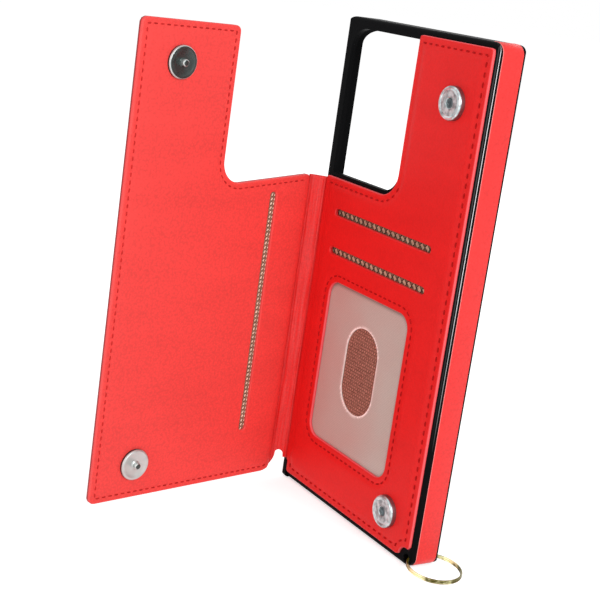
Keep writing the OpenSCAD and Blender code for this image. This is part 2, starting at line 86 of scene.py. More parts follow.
shell_lo, shell_hi = node_box("phone_shell")
panel_lo, panel_hi = node_box("back_leather")
panel_thick = panel_hi[1] - panel_lo[1]
crease = joint_point("spine_fold")[:2]
fold = joint_point("flap_fold")[:2]
spine_width = np.linalg.norm(fold - crease)
spine_along = (fold - crease) / spine_width
turn = math.atan2(-spine_along[1], -spine_along[0])
flap_along = np.array([-math.cos(2 * turn), -math.sin(2 * turn)])
flap_out = np.array([math.sin(2 * turn), -math.cos(2 * turn)])
flap_points = node_points("flap_inner_leather")
flap_edge = ((flap_points[:, :2] - fold) @ flap_along).max()
flap_half = ((flap_points[:, :2] - fold) @ flap_out).max()
flap_low, flap_high = flap_points[:, 2].min(), flap_points[:, 2].max()
print(f"spine {spine_width:.1f} mm wide, each crease turned {math.degrees(turn):.0f} degrees")
print(f"flap {flap_edge:.1f} mm wide, {flap_high - flap_low:.1f} mm high, {2 * flap_half:.1f} mm thick")


# %% Places on the panel and on the flap
def on_panel(u, v, w):
    """Across, up and out of the panel, in mm, from the plane that the leather is glued to."""
    u, v, w = np.broadcast_arrays(u, v, w)
    return np.stack([u, panel_hi[1] - w, v], -1)


def on_flap(u, v, w):
    """Along the flap from its crease, up, and out of its inner face, in mm, from its middle plane."""
    u, v, w = np.broadcast_arrays(u, v, w)
    flat = fold + u[..., None] * flap_along + w[..., None] * flap_out
    return np.concatenate([flat, v[..., None]], -1)


def off_flap(u, v, w):
    """The same on the flap's outer face."""
    return on_flap(u, v, -np.asarray(w))


# %% [markdown]
# ## Colour and node helpers
# Colours are written as they look on screen and turned to linear light once, here. One function adds
# a node: its settings go in by name, and its inputs take either a value or another node's output.

# %% Helpers for materials
def linear(hex_colour):
    parts = [int(hex_colour[i : i + 2], 16) / 255 for i in (1, 3, 5)]
    return [c / 12.92 if c <= 0.04045 else ((c + 0.055) / 1.055) ** 2.4 for c in parts] + [1.0]


def add(tree, kind, inputs=None, **settings):
    node = tree.nodes.new(kind)
    for key, value in settings.items():
        setattr(node, key, value)
    for key, value in (inputs or {}).items():
        if isinstance(value, bpy.types.NodeSocket):
            tree.links.new(value, node.inputs[key])
        else:
            node.inputs[key].default_value = value
    return node


def new_material(name):
    material = bpy.data.materials.new(name)
    material.use_nodes = True
    tree = material.node_tree
    shader = tree.nodes["Principled BSDF"]
    coords = add(tree, "ShaderNodeTexCoord").outputs["Object"]
    return material, tree, shader, coords


def per_mm(count):
    """A texture scale that gives this many features for each millimetre."""
    return count / MM


# %% [markdown]
# ## Leather
# The case is cut from split leather with a pressed and painted grain. A picture of leather could be
# laid over it, but a pattern of nodes needs no file and follows every piece without a seam. The grain
# is small closed cells, so a Voronoi pattern makes the bump. It is drawn about 0.7 mm wide, because a
# finer one wouldn't show. Slow noise changes the colour a little, and fine noise the gloss. Edges have
# their own tone, which each sheet mixes in by a "rim" value: on the panel and the strip a paler
# cut-edge tone that is also a painted highlight, on the flap's outer skin a painted shadow, and along
# the spine's creases painted shade.

# %% Nodes of a leather
FIBRES, GRAIN, FINE_GRAIN, BEND_LINES = 0.12, 1.5, 3.2, 1.6  # features for each mm
NOISE_ENDS = {"From Min": 0.3, "From Max": 0.7}  # nearly all values of a noise texture lie between these


def leather(name, colour, rim_colour, gloss, depth=0.12, streak=0.0, shine=0.35):
    """depth is how much darker the grain's pits are; streak draws bending lines up the piece."""
    material, tree, shader, coords = new_material(name)
    # The hide's fibres lie across the case, so the slow colour noise is drawn out sideways.
    laid = add(tree, "ShaderNodeVectorMath", {0: coords, 1: (0.25, 0.25, 1.0)}, operation="MULTIPLY")
    slow = add(
        tree, "ShaderNodeTexNoise",
        {"Vector": laid.outputs["Vector"], "Scale": per_mm(FIBRES), "Detail": 6.0},
    )
    grain = add(
        tree, "ShaderNodeTexVoronoi", {"Vector": coords, "Scale": per_mm(GRAIN)}, feature="SMOOTH_F1"
    )
    fine = add(tree, "ShaderNodeTexNoise", {"Vector": coords, "Scale": per_mm(FINE_GRAIN), "Detail": 3.0})
    shade = add(
        tree, "ShaderNodeMapRange",
        {"Value": slow.outputs["Fac"], **NOISE_ENDS, "To Min": 0.96, "To Max": 1.04},
    )
    pits = add(
        tree, "ShaderNodeMapRange",
        {"Value": grain.outputs["Distance"], "From Min": 0.1, "From Max": 0.7,
         "To Min": 1.0 + depth / 3, "To Max": 1.0 - depth},
    )
    tone = add(
        tree, "ShaderNodeMath", {0: shade.outputs["Result"], 1: pits.outputs["Result"]}, operation="MULTIPLY"
    )
    painted = add(
        tree, "ShaderNodeHueSaturation", {"Value": tone.outputs["Value"], "Color": linear(colour)}
    )
    rim = add(tree, "ShaderNodeAttribute", attribute_name="rim")
    mixed = add(
        tree, "ShaderNodeMix",
        {"Factor": rim.outputs["Fac"], "A": painted.outputs["Color"], "B": linear(rim_colour)},
        data_type="RGBA",
    )
    tree.links.new(mixed.outputs["Result"], shader.inputs["Base Color"])
    gloss_range = add(
        tree, "ShaderNodeMapRange",
        {"Value": fine.outputs["Fac"], "To Min": gloss - 0.06, "To Max": gloss + 0.08},
    )
    tree.links.new(gloss_range.outputs["Result"], shader.inputs["Roughness"])
    relief = add(
        tree, "ShaderNodeMath",
        {0: grain.outputs["Distance"], 1: -0.7, 2: fine.outputs["Fac"]}, operation="MULTIPLY_ADD",
    )
    bump = add(
        tree, "ShaderNodeBump",
        {"Strength": 0.35, "Distance": 0.12 * MM, "Height": relief.outputs["Value"]},
    )
    if streak:
        # Bending has drawn fine lines up the spine: noise stretched along the crease, in colour and bump.
        drawn = add(
            tree, "ShaderNodeVectorMath", {0: coords, 1: (1.0, 1.0, 0.04)}, operation="MULTIPLY"
        )
        lines = add(
            tree, "ShaderNodeTexNoise",
            {"Vector": drawn.outputs["Vector"], "Scale": per_mm(BEND_LINES), "Detail": 3.0},
        )
        faded = add(
            tree, "ShaderNodeMapRange",
            {"Value": lines.outputs["Fac"], **NOISE_ENDS, "To Min": 0.96, "To Max": 1.03},
        )
        tree.links.new(faded.outputs["Result"], painted.inputs["Saturation"])
        bump = add(
            tree, "ShaderNodeBump",
            {"Strength": streak, "Distance": 0.2 * MM, "Height": lines.outputs["Fac"],
             "Normal": bump.outputs["Normal"]},
        )
    tree.links.new(bump.outputs["Normal"], shader.inputs["Normal"])
    shader.inputs["Specular IOR Level"].default_value = shine
    return material


# %% The leathers of the case
# The panel and the flap's back share one red. The flap's inner face, the spine and the strip get lighter reds
# as painted light, for faces turned towards the key lamp.
panel_leather = leather("red_grain_leather_panel", "#DF1D1C", "#F0646A", 0.50, depth=0.06, shine=0.22)
flap_leather = leather("red_grain_leather_flap", "#F0433F", "#EE4C4A", 0.50, depth=0.13)
# Painted shadow: the flap's outer skin has a dark edge tone.
outer_leather = leather("red_grain_leather_outer", "#DC1D1C", "#7C1416", 0.50)
# Painted shade: the spine's dark rim tone darkens its creases.
spine_leather = leather("red_grain_leather_spine", "#E22B29", "#B40A0A", 0.48, streak=1.0)
# On the panel and here the pale edge tone is partly the cut edge's colour and partly a painted highlight on
# the rounded edges.
strip_leather = leather("red_smooth_leather_strip", "#EA302E", "#FF9C98", 0.42)
print("leather materials:", [m.name for m in bpy.data.materials if "leather" in m.name])

# %% [markdown]
# ## Thread, lining and window film
# The thread is twisted polyester, a dull darker red. The lining is a flat braid of beige and brown
# yarns laid at 45 degrees: two sets of stripes that take turns on top, like the squares of a board. It
# shows only in narrow openings, so a pattern does for it and no yarn is modelled. The film is calendered
# PVC with an emboss of fine diamonds, so it is only half clear. The same stripes make the diamonds, and
# the haze is greyer towards the open side.

# %% Thread materials
TWIST = 0.35  # a wave texture has about three bands in each unit, so this is one turn in about 0.9 mm


def thread(name, dark, light):
    material, tree, shader, coords = new_material(name)
    twist = add(tree, "ShaderNodeTexWave", {"Vector": coords, "Scale": per_mm(TWIST), "Distortion": 1.0})
    tint = add(
        tree, "ShaderNodeMix",
        {"Factor": twist.outputs["Fac"], "A": linear(dark), "B": linear(light)}, data_type="RGBA",
    )
    tree.links.new(tint.outputs["Result"], shader.inputs["Base Color"])
    shader.inputs["Roughness"].default_value = 0.7
    shader.inputs["Specular IOR Level"].default_value = 0.1
    return material


panel_thread = thread("dark_red_polyester_thread", "#9A0D0E", "#BA1618")
# The same thread gets a lighter red on the flap's inner face, as painted light where the key lamp falls.
flap_thread = thread("red_polyester_thread", "#A81E1D", "#C42C2A")
print("threads:", panel_thread.name, "and", flap_thread.name)

# %% Two sets of yarns that take turns on top
DIAGONAL = 0.7071


def weave(tree, coords, width):
    """For yarns at 45 degrees: which of the two is on top (0 or 1), how round it stands, and the height."""
    axes = add(tree, "ShaderNodeSeparateXYZ", {"Vector": coords})
    across = add(
        tree, "ShaderNodeMath", {0: axes.outputs["X"], 1: axes.outputs["Y"]}, operation="SUBTRACT"
    )
    numbers, sides = [], []
    for way in ("ADD", "SUBTRACT"):
        slant = add(tree, "ShaderNodeMath", {0: across.outputs["Value"], 1: axes.outputs["Z"]}, operation=way)
        count = add(
            tree, "ShaderNodeMath", {0: slant.outputs["Value"], 1: per_mm(DIAGONAL / width)},
            operation="MULTIPLY",
        )
        whole = add(tree, "ShaderNodeMath", {0: count.outputs["Value"]}, operation="FLOOR")
        numbers.append(whole.outputs["Value"])
        half = add(tree, "ShaderNodeMath", {0: count.outputs["Value"], 1: 0.5}, operation="PINGPONG")
        sides.append(half.outputs["Value"])
    turns = add(tree, "ShaderNodeMath", {0: numbers[0], 1: numbers[1]}, operation="ADD")
    on_top = add(tree, "ShaderNodeMath", {0: turns.outputs["Value"], 1: 1.0}, operation="PINGPONG")
    stands = add(tree, "ShaderNodeMix", {"Factor": on_top.outputs["Value"], "A": sides[0], "B": sides[1]})
    return on_top.outputs["Value"], stands.outputs["Result"], axes.outputs["Z"]


# %% Woven lining materials
YARN, FLAP_YARN, CLOTH_YARN, CLOTH_BELOW = 1.9, 1.1, 0.8, 84.0
CLOTH = ("#B47C6C", "#906252", "#50322A")


def lining(name, width, cloth_below, braid):
    """Braid of this yarn width; below a height in mm it turns to the brown cloth of the card pockets."""
    material, tree, shader, coords = new_material(name)
    speck = add(tree, "ShaderNodeTexNoise", {"Vector": coords, "Scale": per_mm(1.3), "Detail": 3.0})
    # No yarn lies quite straight: the noise's colour, as a vector, moves the pattern a little.
    wander = add(
        tree, "ShaderNodeVectorMath", {0: speck.outputs["Color"], 1: (0.5 * MM,) * 3, 2: coords},
        operation="MULTIPLY_ADD",
    )
    tones = []
    for yarn_width, (pale, dark, gap) in ((width, braid), (CLOTH_YARN, CLOTH)):
        on_top, stands, height = weave(tree, wander.outputs["Vector"], yarn_width)
        yarn = add(
            tree, "ShaderNodeMix", {"Factor": on_top, "A": linear(pale), "B": linear(dark)}, data_type="RGBA"
        )
        lit = add(tree, "ShaderNodeMapRange", {"Value": stands, "From Min": 0.06, "From Max": 0.30})
        shaded = add(
            tree, "ShaderNodeMix",
            {"Factor": lit.outputs["Result"], "A": linear(gap), "B": yarn.outputs["Result"]},
            data_type="RGBA",
        )
        tones.append((shaded.outputs["Result"], stands))
    in_slot = add(tree, "ShaderNodeMath", {0: height, 1: cloth_below * MM}, operation="GREATER_THAN")
    tone = add(
        tree, "ShaderNodeMix",
        {"Factor": in_slot.outputs["Value"], "A": tones[1][0], "B": tones[0][0]}, data_type="RGBA",
    )
    fluff = add(
        tree, "ShaderNodeMapRange",
        {"Value": speck.outputs["Fac"], **NOISE_ENDS, "To Min": 0.75, "To Max": 1.3},
    )
    fuzzy = add(
        tree, "ShaderNodeHueSaturation", {"Value": fluff.outputs["Result"], "Color": tone.outputs["Result"]}
    )
    tree.links.new(fuzzy.outputs["Color"], shader.inputs["Base Color"])
    bump = add(tree, "ShaderNodeBump", {"Strength": 0.6, "Distance": 0.25 * MM, "Height": tones[0][1]})
    tree.links.new(bump.outputs["Normal"], shader.inputs["Normal"])
    shader.inputs["Roughness"].default_value = 0.8
    shader.inputs["Specular IOR Level"].default_value = 0.2
    return material


panel_lining = lining("beige_brown_braid", YARN, CLOTH_BELOW, ("#BFA48A", "#846450", "#1C110D"))
flap_lining = lining("fine_beige_brown_braid", FLAP_YARN, 0.0, ("#EAD2BA", "#98725A", "#342018"))
print(f"linings: yarns {YARN} mm wide on the panel, {FLAP_YARN} mm on the flap")

# %% Haze and emboss of the window film
EMBOSS_CELL = 0.7
HAZE_ENDS = {"From Min": -24.0 * MM, "From Max": 20.0 * MM, "To Min": -0.25, "To Max": 0.36}
film, tree, shader, coords = new_material("frosted_pvc_film")
cloud = add(tree, "ShaderNodeTexNoise", {"Vector": coords, "Scale": per_mm(0.05), "Detail": 2.0})
matt = add(tree, "ShaderNodeTexNoise", {"Vector": coords, "Scale": per_mm(2.0), "Detail": 2.0})
across = add(tree, "ShaderNodeSeparateXYZ", {"Vector": coords})
greyer = add(tree, "ShaderNodeMapRange", {"Value": across.outputs["X"], **HAZE_ENDS})
patchy = add(
    tree, "ShaderNodeMath", {0: cloud.outputs["Fac"], 1: greyer.outputs["Result"]}, use_clamp=True
)
tint = add(
    tree, "ShaderNodeMix",
    {"Factor": patchy.outputs["Value"], "A": linear("#D6B2A9"), "B": linear("#D4D2C8")}, data_type="RGBA",
)
_, pressed, _ = weave(tree, coords, EMBOSS_CELL)
raised = add(
    tree, "ShaderNodeMapRange", {"Value": pressed, "From Max": 0.5, "To Min": 0.86, "To Max": 1.06}
)
rim = add(tree, "ShaderNodeAttribute", attribute_name="rim")
# A rim value below zero is painted shadow: it darkens the film where it runs in under the panel.
under = add(
    tree, "ShaderNodeMapRange",
    {"Value": rim.outputs["Fac"], "From Min": -1.0, "From Max": 0.0, "To Min": 0.5, "To Max": 1.0},
)
tone = add(
    tree, "ShaderNodeMath", {0: raised.outputs["Result"], 1: under.outputs["Result"]}, operation="MULTIPLY"
)
haze = add(
    tree, "ShaderNodeHueSaturation", {"Value": tone.outputs["Value"], "Color": tint.outputs["Result"]}
)
print("film: haze and an emboss of", EMBOSS_CELL, "mm")

# %% Cut edge, clearness and gloss of the film
cut = add(
    tree, "ShaderNodeMix",
    {"Factor": rim.outputs["Fac"], "A": haze.outputs["Color"], "B": linear("#FFF4EE")}, data_type="RGBA",
)
tree.links.new(cut.outputs["Result"], shader.inputs["Base Color"])
clear = add(tree, "ShaderNodeMapRange", {"Value": matt.outputs["Fac"], "To Min": 0.68, "To Max": 0.86})
solid_rim = add(
    tree, "ShaderNodeMath", {0: clear.outputs["Result"], 1: rim.outputs["Fac"]}, operation="MAXIMUM"
)
tree.links.new(solid_rim.outputs["Value"], shader.inputs["Alpha"])
bump = add(
    tree, "ShaderNodeBump", {"Strength": 0.12, "Distance": 0.05 * MM, "Height": matt.outputs["Fac"]}
)
tree.links.new(bump.outputs["Normal"], shader.inputs["Normal"])
shader.inputs["Roughness"].default_value = 0.32
print("film material has", len(tree.nodes), "nodes")

# %% [markdown]
# ## Plastic and metals
# The tray is moulded TPU with a fine spark-eroded texture. The snaps are drawn brass with chrome
# plate, the rivets plain plated steel, and the ring is spring wire with a pale gold plate. Each metal
# has a faint noise in its roughness, as handled plate has. Wholly metallic plate would mirror the red
# leather far more than the real snaps do, so the bright plates are only partly metallic.

# %% Nodes of a plastic, a board or a metal
def plain(name, dark, light, metal, low, high, size, relief, spread=0.5):
    """low and high bound the roughness and size is the noise's in mm; spread is how far the noise goes
    from its middle before the tint is all dark or all light."""
    material, tree, shader, coords = new_material(name)
    noise = add(tree, "ShaderNodeTexNoise", {"Vector": coords, "Scale": per_mm(1 / size), "Detail": 3.0})
    share = add(
        tree, "ShaderNodeMapRange",
        {"Value": noise.outputs["Fac"], "From Min": 0.5 - spread, "From Max": 0.5 + spread},
    )
    tint = add(
        tree, "ShaderNodeMix",
        {"Factor": share.outputs["Result"], "A": linear(dark), "B": linear(light)},
        data_type="RGBA", name="tint",
    )
    polish = add(
        tree, "ShaderNodeMapRange", {"Value": noise.outputs["Fac"], "To Min": low, "To Max": high}
    )
    bump = add(
        tree, "ShaderNodeBump", {"Strength": relief, "Distance": 0.05 * MM, "Height": noise.outputs["Fac"]}
    )
    tree.links.new(tint.outputs["Result"], shader.inputs["Base Color"])
    tree.links.new(polish.outputs["Result"], shader.inputs["Roughness"])
    tree.links.new(bump.outputs["Normal"], shader.inputs["Normal"])
    shader.inputs["Metallic"].default_value = metal
    return material


# %% The plastic, the board and the metals
# Moulded against a finely eroded tool: an even satin black.
tpu = plain("black_moulded_tpu", "#0C0C0D", "#131314", 0.0, 0.34, 0.44, 0.5, 0.06)
# Polished before plating: bright. Its broad soft patches of lighter and darker tone are painted reflection.
chrome = plain("polished_chrome_plate", "#7E888A", "#D8E8EA", 0.55, 0.10, 0.22, 2.6, 0.0, spread=0.14)
# The socket's dish is plated as it was pressed, so it is duller than its rim. Its lighter and darker
# patches are painted reflection as well.
dull = plain("dull_nickel_plate", "#7C8486", "#C2CCCE", 0.3, 0.24, 0.36, 1.6, 0.0, spread=0.12)
# Tumbled before plating: an even pale satin. The dark plate is painted shade and reflection on the
# studs: a dark button tip, a dark outline round the side and a dark dish on the upper stud.
satin = plain("satin_nickel_plate", "#AEB4B2", "#C2C8C6", 0.6, 0.30, 0.40, 2.0, 0.0)
shade_and_reflection_plate = plain("dark_nickel_painted_shade_and_reflection", "#343A39", "#48504E", 0.7, 0.22, 0.34, 2.0, 0.0)
# Hidden: sintered and plated, stamped and plated, pressed from pulp. The magnet's plate also paints
# shade in the sockets' holes, and the steel paints shade round the sockets' outer walls.
magnet_and_hole_shade = plain("nickel_plated_magnet_and_hole_shade", "#2C2D30", "#3C3E42", 1.0, 0.25, 0.35, 1.0, 0.05)
steel_and_wall_shade = plain("plain_plated_steel_and_wall_shade", "#86888C", "#94969A", 1.0, 0.30, 0.42, 0.8, 0.05)
board = plain("pressed_fibre_board", "#94897C", "#A89E90", 0.0, 0.80, 0.90, 0.6, 0.40)
# Drawn wire with a thin plate. Its long bright and dark stretches are painted reflection.
gold = plain("pale_gold_plate", "#5E5614", "#FFFBC4", 0.3, 0.14, 0.24, 7.0, 0.0, spread=0.06)
print("materials so far:", len(bpy.data.materials))

# %% Painted highlight lines on the tray's edge
# Two thin pale lines on the round back edge of the open side are painted highlight: the outer one
# bright, most of all on the upper part, the inner one faint. They are placed by their angle round that
# edge's middle line: (degrees, half width, strength).
EDGE_R, HIGHLIGHT_LINES, HIGHLIGHT_Z = 1.5, ((23.0, 4.0, 1.0), (50.0, 7.0, 0.06)), (40.0, 95.0)
tree, shader = tpu.node_tree, tpu.node_tree.nodes["Principled BSDF"]
coords = add(tree, "ShaderNodeTexCoord").outputs["Object"]
axes = add(tree, "ShaderNodeSeparateXYZ", {"Vector": coords})
side = add(
    tree, "ShaderNodeMath", {0: axes.outputs["X"], 1: (shell_hi[0] - EDGE_R) * MM}, operation="SUBTRACT"
)
rear = add(
    tree, "ShaderNodeMath", {0: (panel_hi[1] + EDGE_R) * MM, 1: axes.outputs["Y"]}, operation="SUBTRACT"
)
angle = add(
    tree, "ShaderNodeMath", {0: rear.outputs["Value"], 1: side.outputs["Value"]}, operation="ARCTAN2"
)
highlight_lines = []
for degrees, half_width, highlight_strength in HIGHLIGHT_LINES:
    near = add(
        tree, "ShaderNodeMath",
        {0: angle.outputs["Value"], 1: math.radians(degrees), 2: math.radians(half_width)},
        operation="COMPARE",
    )
    highlight_line = add(tree, "ShaderNodeMath", {0: near.outputs["Value"], 1: highlight_strength}, operation="MULTIPLY")
    highlight_lines.append(highlight_line.outputs["Value"])
either = add(tree, "ShaderNodeMath", {0: highlight_lines[0], 1: highlight_lines[1]}, operation="MAXIMUM")
rise = add(
    tree, "ShaderNodeMapRange",
    {"Value": axes.outputs["Z"], "From Min": HIGHLIGHT_Z[0] * MM, "From Max": HIGHLIGHT_Z[1] * MM},
)
# Painted highlight: the two lines, faded in towards the top.
painted_highlight = add(
    tree, "ShaderNodeMath", {0: either.outputs["Value"], 1: rise.outputs["Result"]}, operation="MULTIPLY"
)
highlit_tint = add(
    tree, "ShaderNodeMix",
    {"Factor": painted_highlight.outputs["Value"], "A": tree.nodes["tint"].outputs["Result"], "B": linear("#D0D0D2")},
    data_type="RGBA",
)
tree.links.new(highlit_tint.outputs["Result"], shader.inputs["Base Color"])
shader.inputs["Specular IOR Level"].default_value = 0.012
print("tray material has", len(tree.nodes), "nodes")

# %% [markdown]
# ## Mesh helpers
# Every new piece is a closed mesh. Modifiers could make many of them, but these shapes follow from a few
# formulas, so their points and faces are computed. `solid` makes the object, `loft` joins a row of loops
# into a tube with closed ends, and `turned` spins a profile of radius and height round an axis.

# %% Make an object
def solid(name, points, faces, material, slot, rim=None, sharp=35):
    mesh = bpy.data.meshes.new(name)
    mesh.from_pydata((np.asarray(points) * MM).tolist(), [], faces)
    bm = bmesh.new()
    bm.from_mesh(mesh)
    bmesh.ops.recalc_face_normals(bm, faces=bm.faces)
    bm.to_mesh(mesh)
    bm.free()
    mesh.polygons.foreach_set("use_smooth", [True] * len(mesh.polygons))
    mesh.set_sharp_from_angle(angle=math.radians(sharp))
    if rim is not None:
        mesh.attributes.new("rim", "FLOAT", "POINT").data.foreach_set("value", np.asarray(rim, np.float32))
    mesh.materials.append(material)
    obj = bpy.data.objects.new(name, mesh)
    bpy.context.scene.collection.objects.link(obj)
    return obj


# %% Tubes and turned shapes
def loft(loops, strip_caps=False):
    """Points and faces of a closed tube through loops of equal length; strip_caps ends it with quads."""
    rows, size = loops.shape[:2]
    index = np.arange(rows * size).reshape(rows, size)
    start, following = index[:-1], index[1:]
    quads = np.stack([start, np.roll(start, -1, 1), np.roll(following, -1, 1), following], -1)
    faces = quads.reshape(-1, 4).tolist()
    for end in (index[0], index[-1]):
        if strip_caps:
            faces += [
                [end[i], end[i + 1], end[size - 2 - i], end[size - 1 - i]] for i in range(size // 2 - 1)
            ]
        else:
            faces.append(end.tolist())
    return loops.reshape(-1, 3), faces


def turned(profile, centre, place, segments=72):
    """Points and faces of a profile of (radius, height) pairs from axis to axis, spun round a centre."""
    angles = np.arange(segments) * 2 * math.pi / segments
    rings = [
        place(centre[0] + r * np.cos(angles), centre[1] + r * np.sin(angles), h) for r, h in profile[1:-1]
    ]
    points = np.concatenate(rings)
    tips = [place(np.array([centre[0]]), np.array([centre[1]]), h) for h in (profile[0][1], profile[-1][1])]
    first, last = len(points), len(points) + 1
    points = np.concatenate([points, *tips])
    faces = []
    for k in range(segments):
        n = (k + 1) % segments
        faces.append([first, k, n])
        for row in range(len(rings) - 1):
            a, b = row * segments, (row + 1) * segments
            faces.append([a + k, b + k, b + n, a + n])
        end = (len(rings) - 1) * segments
        faces.append([end + k, last, end + n])
    return points, faces


# %% [markdown]
# ## Outlines as distances
# A sheet's outline is a signed distance in millimetres: below zero inside it, and growing outwards.
# Shapes then join, cut and round with a few lines of arithmetic, and the same distance tells how far
# a stitch or a groove lies from the edge.

# %% Basic outlines
def round_box(u, v, lo, hi, radius):
    middle, half = (np.add(lo, hi)) / 2, np.subtract(hi, lo) / 2
    qu = np.abs(u - middle[0]) - half[0] + radius
    qv = np.abs(v - middle[1]) - half[1] + radius
    outside = np.hypot(np.maximum(qu, 0), np.maximum(qv, 0))
    return np.minimum(np.maximum(qu, qv), 0) + outside - radius


def both(a, b, radius):
    """Inside both shapes, with the corner between them rounded."""
    corner = np.hypot(np.maximum(radius + a, 0), np.maximum(radius + b, 0))
    return np.minimum(-radius, np.maximum(a, b)) + corner


def notched(u, v, lo, hi, radius, notch_u, notch_v, rise, notch_radius):
    """A rounded box without its corner left of notch_u and above notch_v; rise slants the notch's edge."""
    box = round_box(u, v, lo, hi, radius)
    lean = rise / (notch_u - lo[0])
    above = (v - notch_v - lean * (notch_u - u)) / math.hypot(1, lean)
    gap = both(-above, u - notch_u, notch_radius)
    return both(box, -gap, np.minimum(radius, 2.0))


# %% Find the line at one distance
def slope(distance, u, v):
    step = 0.01
    du = (distance(u + step, v) - distance(u - step, v)) / (2 * step)
    dv = (distance(u, v + step) - distance(u, v - step)) / (2 * step)
    size = np.maximum(np.hypot(du, dv), 1e-6)
    return du / size, dv / size


def pull(distance, u, v, level):
    """Moves points onto the line where the distance has this level."""
    for _ in range(8):
        gap = distance(u, v) - level
        du, dv = slope(distance, u, v)
        u, v = u - gap * du, v - gap * dv
    return u, v


def walk(distance, level, start, step=0.3):
    """The closed line at this level, as points step mm apart, found by walking along it from start."""
    u, v = pull(distance, np.array([start[0]]), np.array([start[1]]), level)
    path = [(u[0], v[0])]
    while len(path) < 8000:
        du, dv = slope(distance, u, v)
        u, v = pull(distance, u - step * dv, v + step * du, level)
        path.append((u[0], v[0]))
        if len(path) > 20 and math.dist(path[-1], path[0]) < step:
            break
    return np.array(path)


# %% [markdown]
# ## Leather sheets
# A sheet starts as a fine grid. The squares inside the outline stay, their outer corners are pulled
# onto the line just inside the edge, and rings of points then roll over the edge and down its side.
# A second grid closes the back. Real leather does the same: it turns over the edge and is glued down.

# %% Build a sheet from an outline
ROLL_ANGLES, SIDE_RIM = (0.5, 1.05, 1.57), 0.35


def leather_sheet(
    name, distance, lo, hi, place, front, back, base, edge, cell, material, slot, glow=None, pale=None
):
    """In mm: front and back are the heights of the two faces, base is where the sides end, edge is the
    radius of the roll and cell the size of a square. glow gives the rim value on the front, and pale
    scales it round the edges."""
    counts = [int(math.ceil((hi[i] - lo[i]) / cell)) + 1 for i in (0, 1)]
    lines = [np.linspace(lo[i], hi[i], counts[i]) for i in (0, 1)]
    u, v = np.meshgrid(*lines, indexing="ij")
    keep = distance((u[:-1, :-1] + u[1:, 1:]) / 2, (v[:-1, :-1] + v[1:, 1:]) / 2) < -edge
    uses = np.zeros(u.shape, int)
    for i in (0, 1):
        for j in (0, 1):
            uses[i : u.shape[0] - 1 + i, j : u.shape[1] - 1 + j] += keep
    border, inner = (uses > 0) & (uses < 4), uses == 4
    u[border], v[border] = pull(distance, u[border], v[border], -edge)
    for _ in range(6):
        for grid in (u, v):
            near = sum(np.roll(grid, s, a) for s in (1, -1) for a in (0, 1)) / 4
            grid[inner] = near[inner]
    index = np.full(u.shape, -1)
    index[uses > 0] = np.arange((uses > 0).sum())
    quads = np.stack(
        [index[:-1, :-1][keep], index[1:, :-1][keep], index[1:, 1:][keep], index[:-1, 1:][keep]], -1
    )
    u, v = u[uses > 0], v[uses > 0]
    sides = np.concatenate([quads[:, [i, (i + 1) % 4]] for i in range(4)])
    _, where, many = np.unique(np.sort(sides, 1), axis=0, return_index=True, return_counts=True)
    edges = sides[where[many == 1]]
    around, compact = np.unique(edges, return_inverse=True)
    compact = compact.reshape(-1, 2)
    bu, bv = u[around], v[around]
    du, dv = slope(distance, bu, bv)
    top = front(bu, bv)
    rings = [
        (edge * math.sin(a), top - edge * (1 - math.cos(a)), math.sin(a) ** 2) for a in ROLL_ANGLES
    ]
    rings.append((edge, top * 0 + base, SIDE_RIM))
    under = np.asarray(back(u, v) + 0 * u)
    if abs(under[around].mean() - base) > 0.01:
        rings.append((0.0, top * 0 + base, 1.0))
    layers = [place(u, v, front(u, v))]
    rim = [np.zeros(len(u)) if glow is None else glow(u, v)]
    faces = quads.tolist()
    below, size = around[compact], len(u)
    for out, height, shine in rings:
        layers.append(place(bu + out * du, bv + out * dv, height))
        rim.append(shine * (np.ones(len(bu)) if pale is None else pale(bu, bv)))
        ring = compact + size
        faces += np.stack([below[:, 1], below[:, 0], ring[:, 0], ring[:, 1]], -1).tolist()
        below, size = ring, size + len(bu)
    layers.append(place(u, v, under))
    rim.append(np.zeros(len(u)))
    faces += (quads[:, ::-1] + size).tolist()
    last = around[compact] + size
    faces += np.stack([below[:, 1], below[:, 0], last[:, 0], last[:, 1]], -1).tolist()
    obj = solid(name, np.concatenate(layers), faces, material, slot, np.concatenate(rim), sharp=80)
    print(f"{name}: {len(obj.data.vertices)} points, {len(edges)} of them round the edges")
    return obj


# %% [markdown]
# ## Stitches
# A stitch is a short piece of thread that comes up through one hole and goes down through the next,
# so each is a small arch with tapered ends. A bump in the material would be quicker, but it can't stand
# up from the leather. They sit along a line at one distance from the edge.

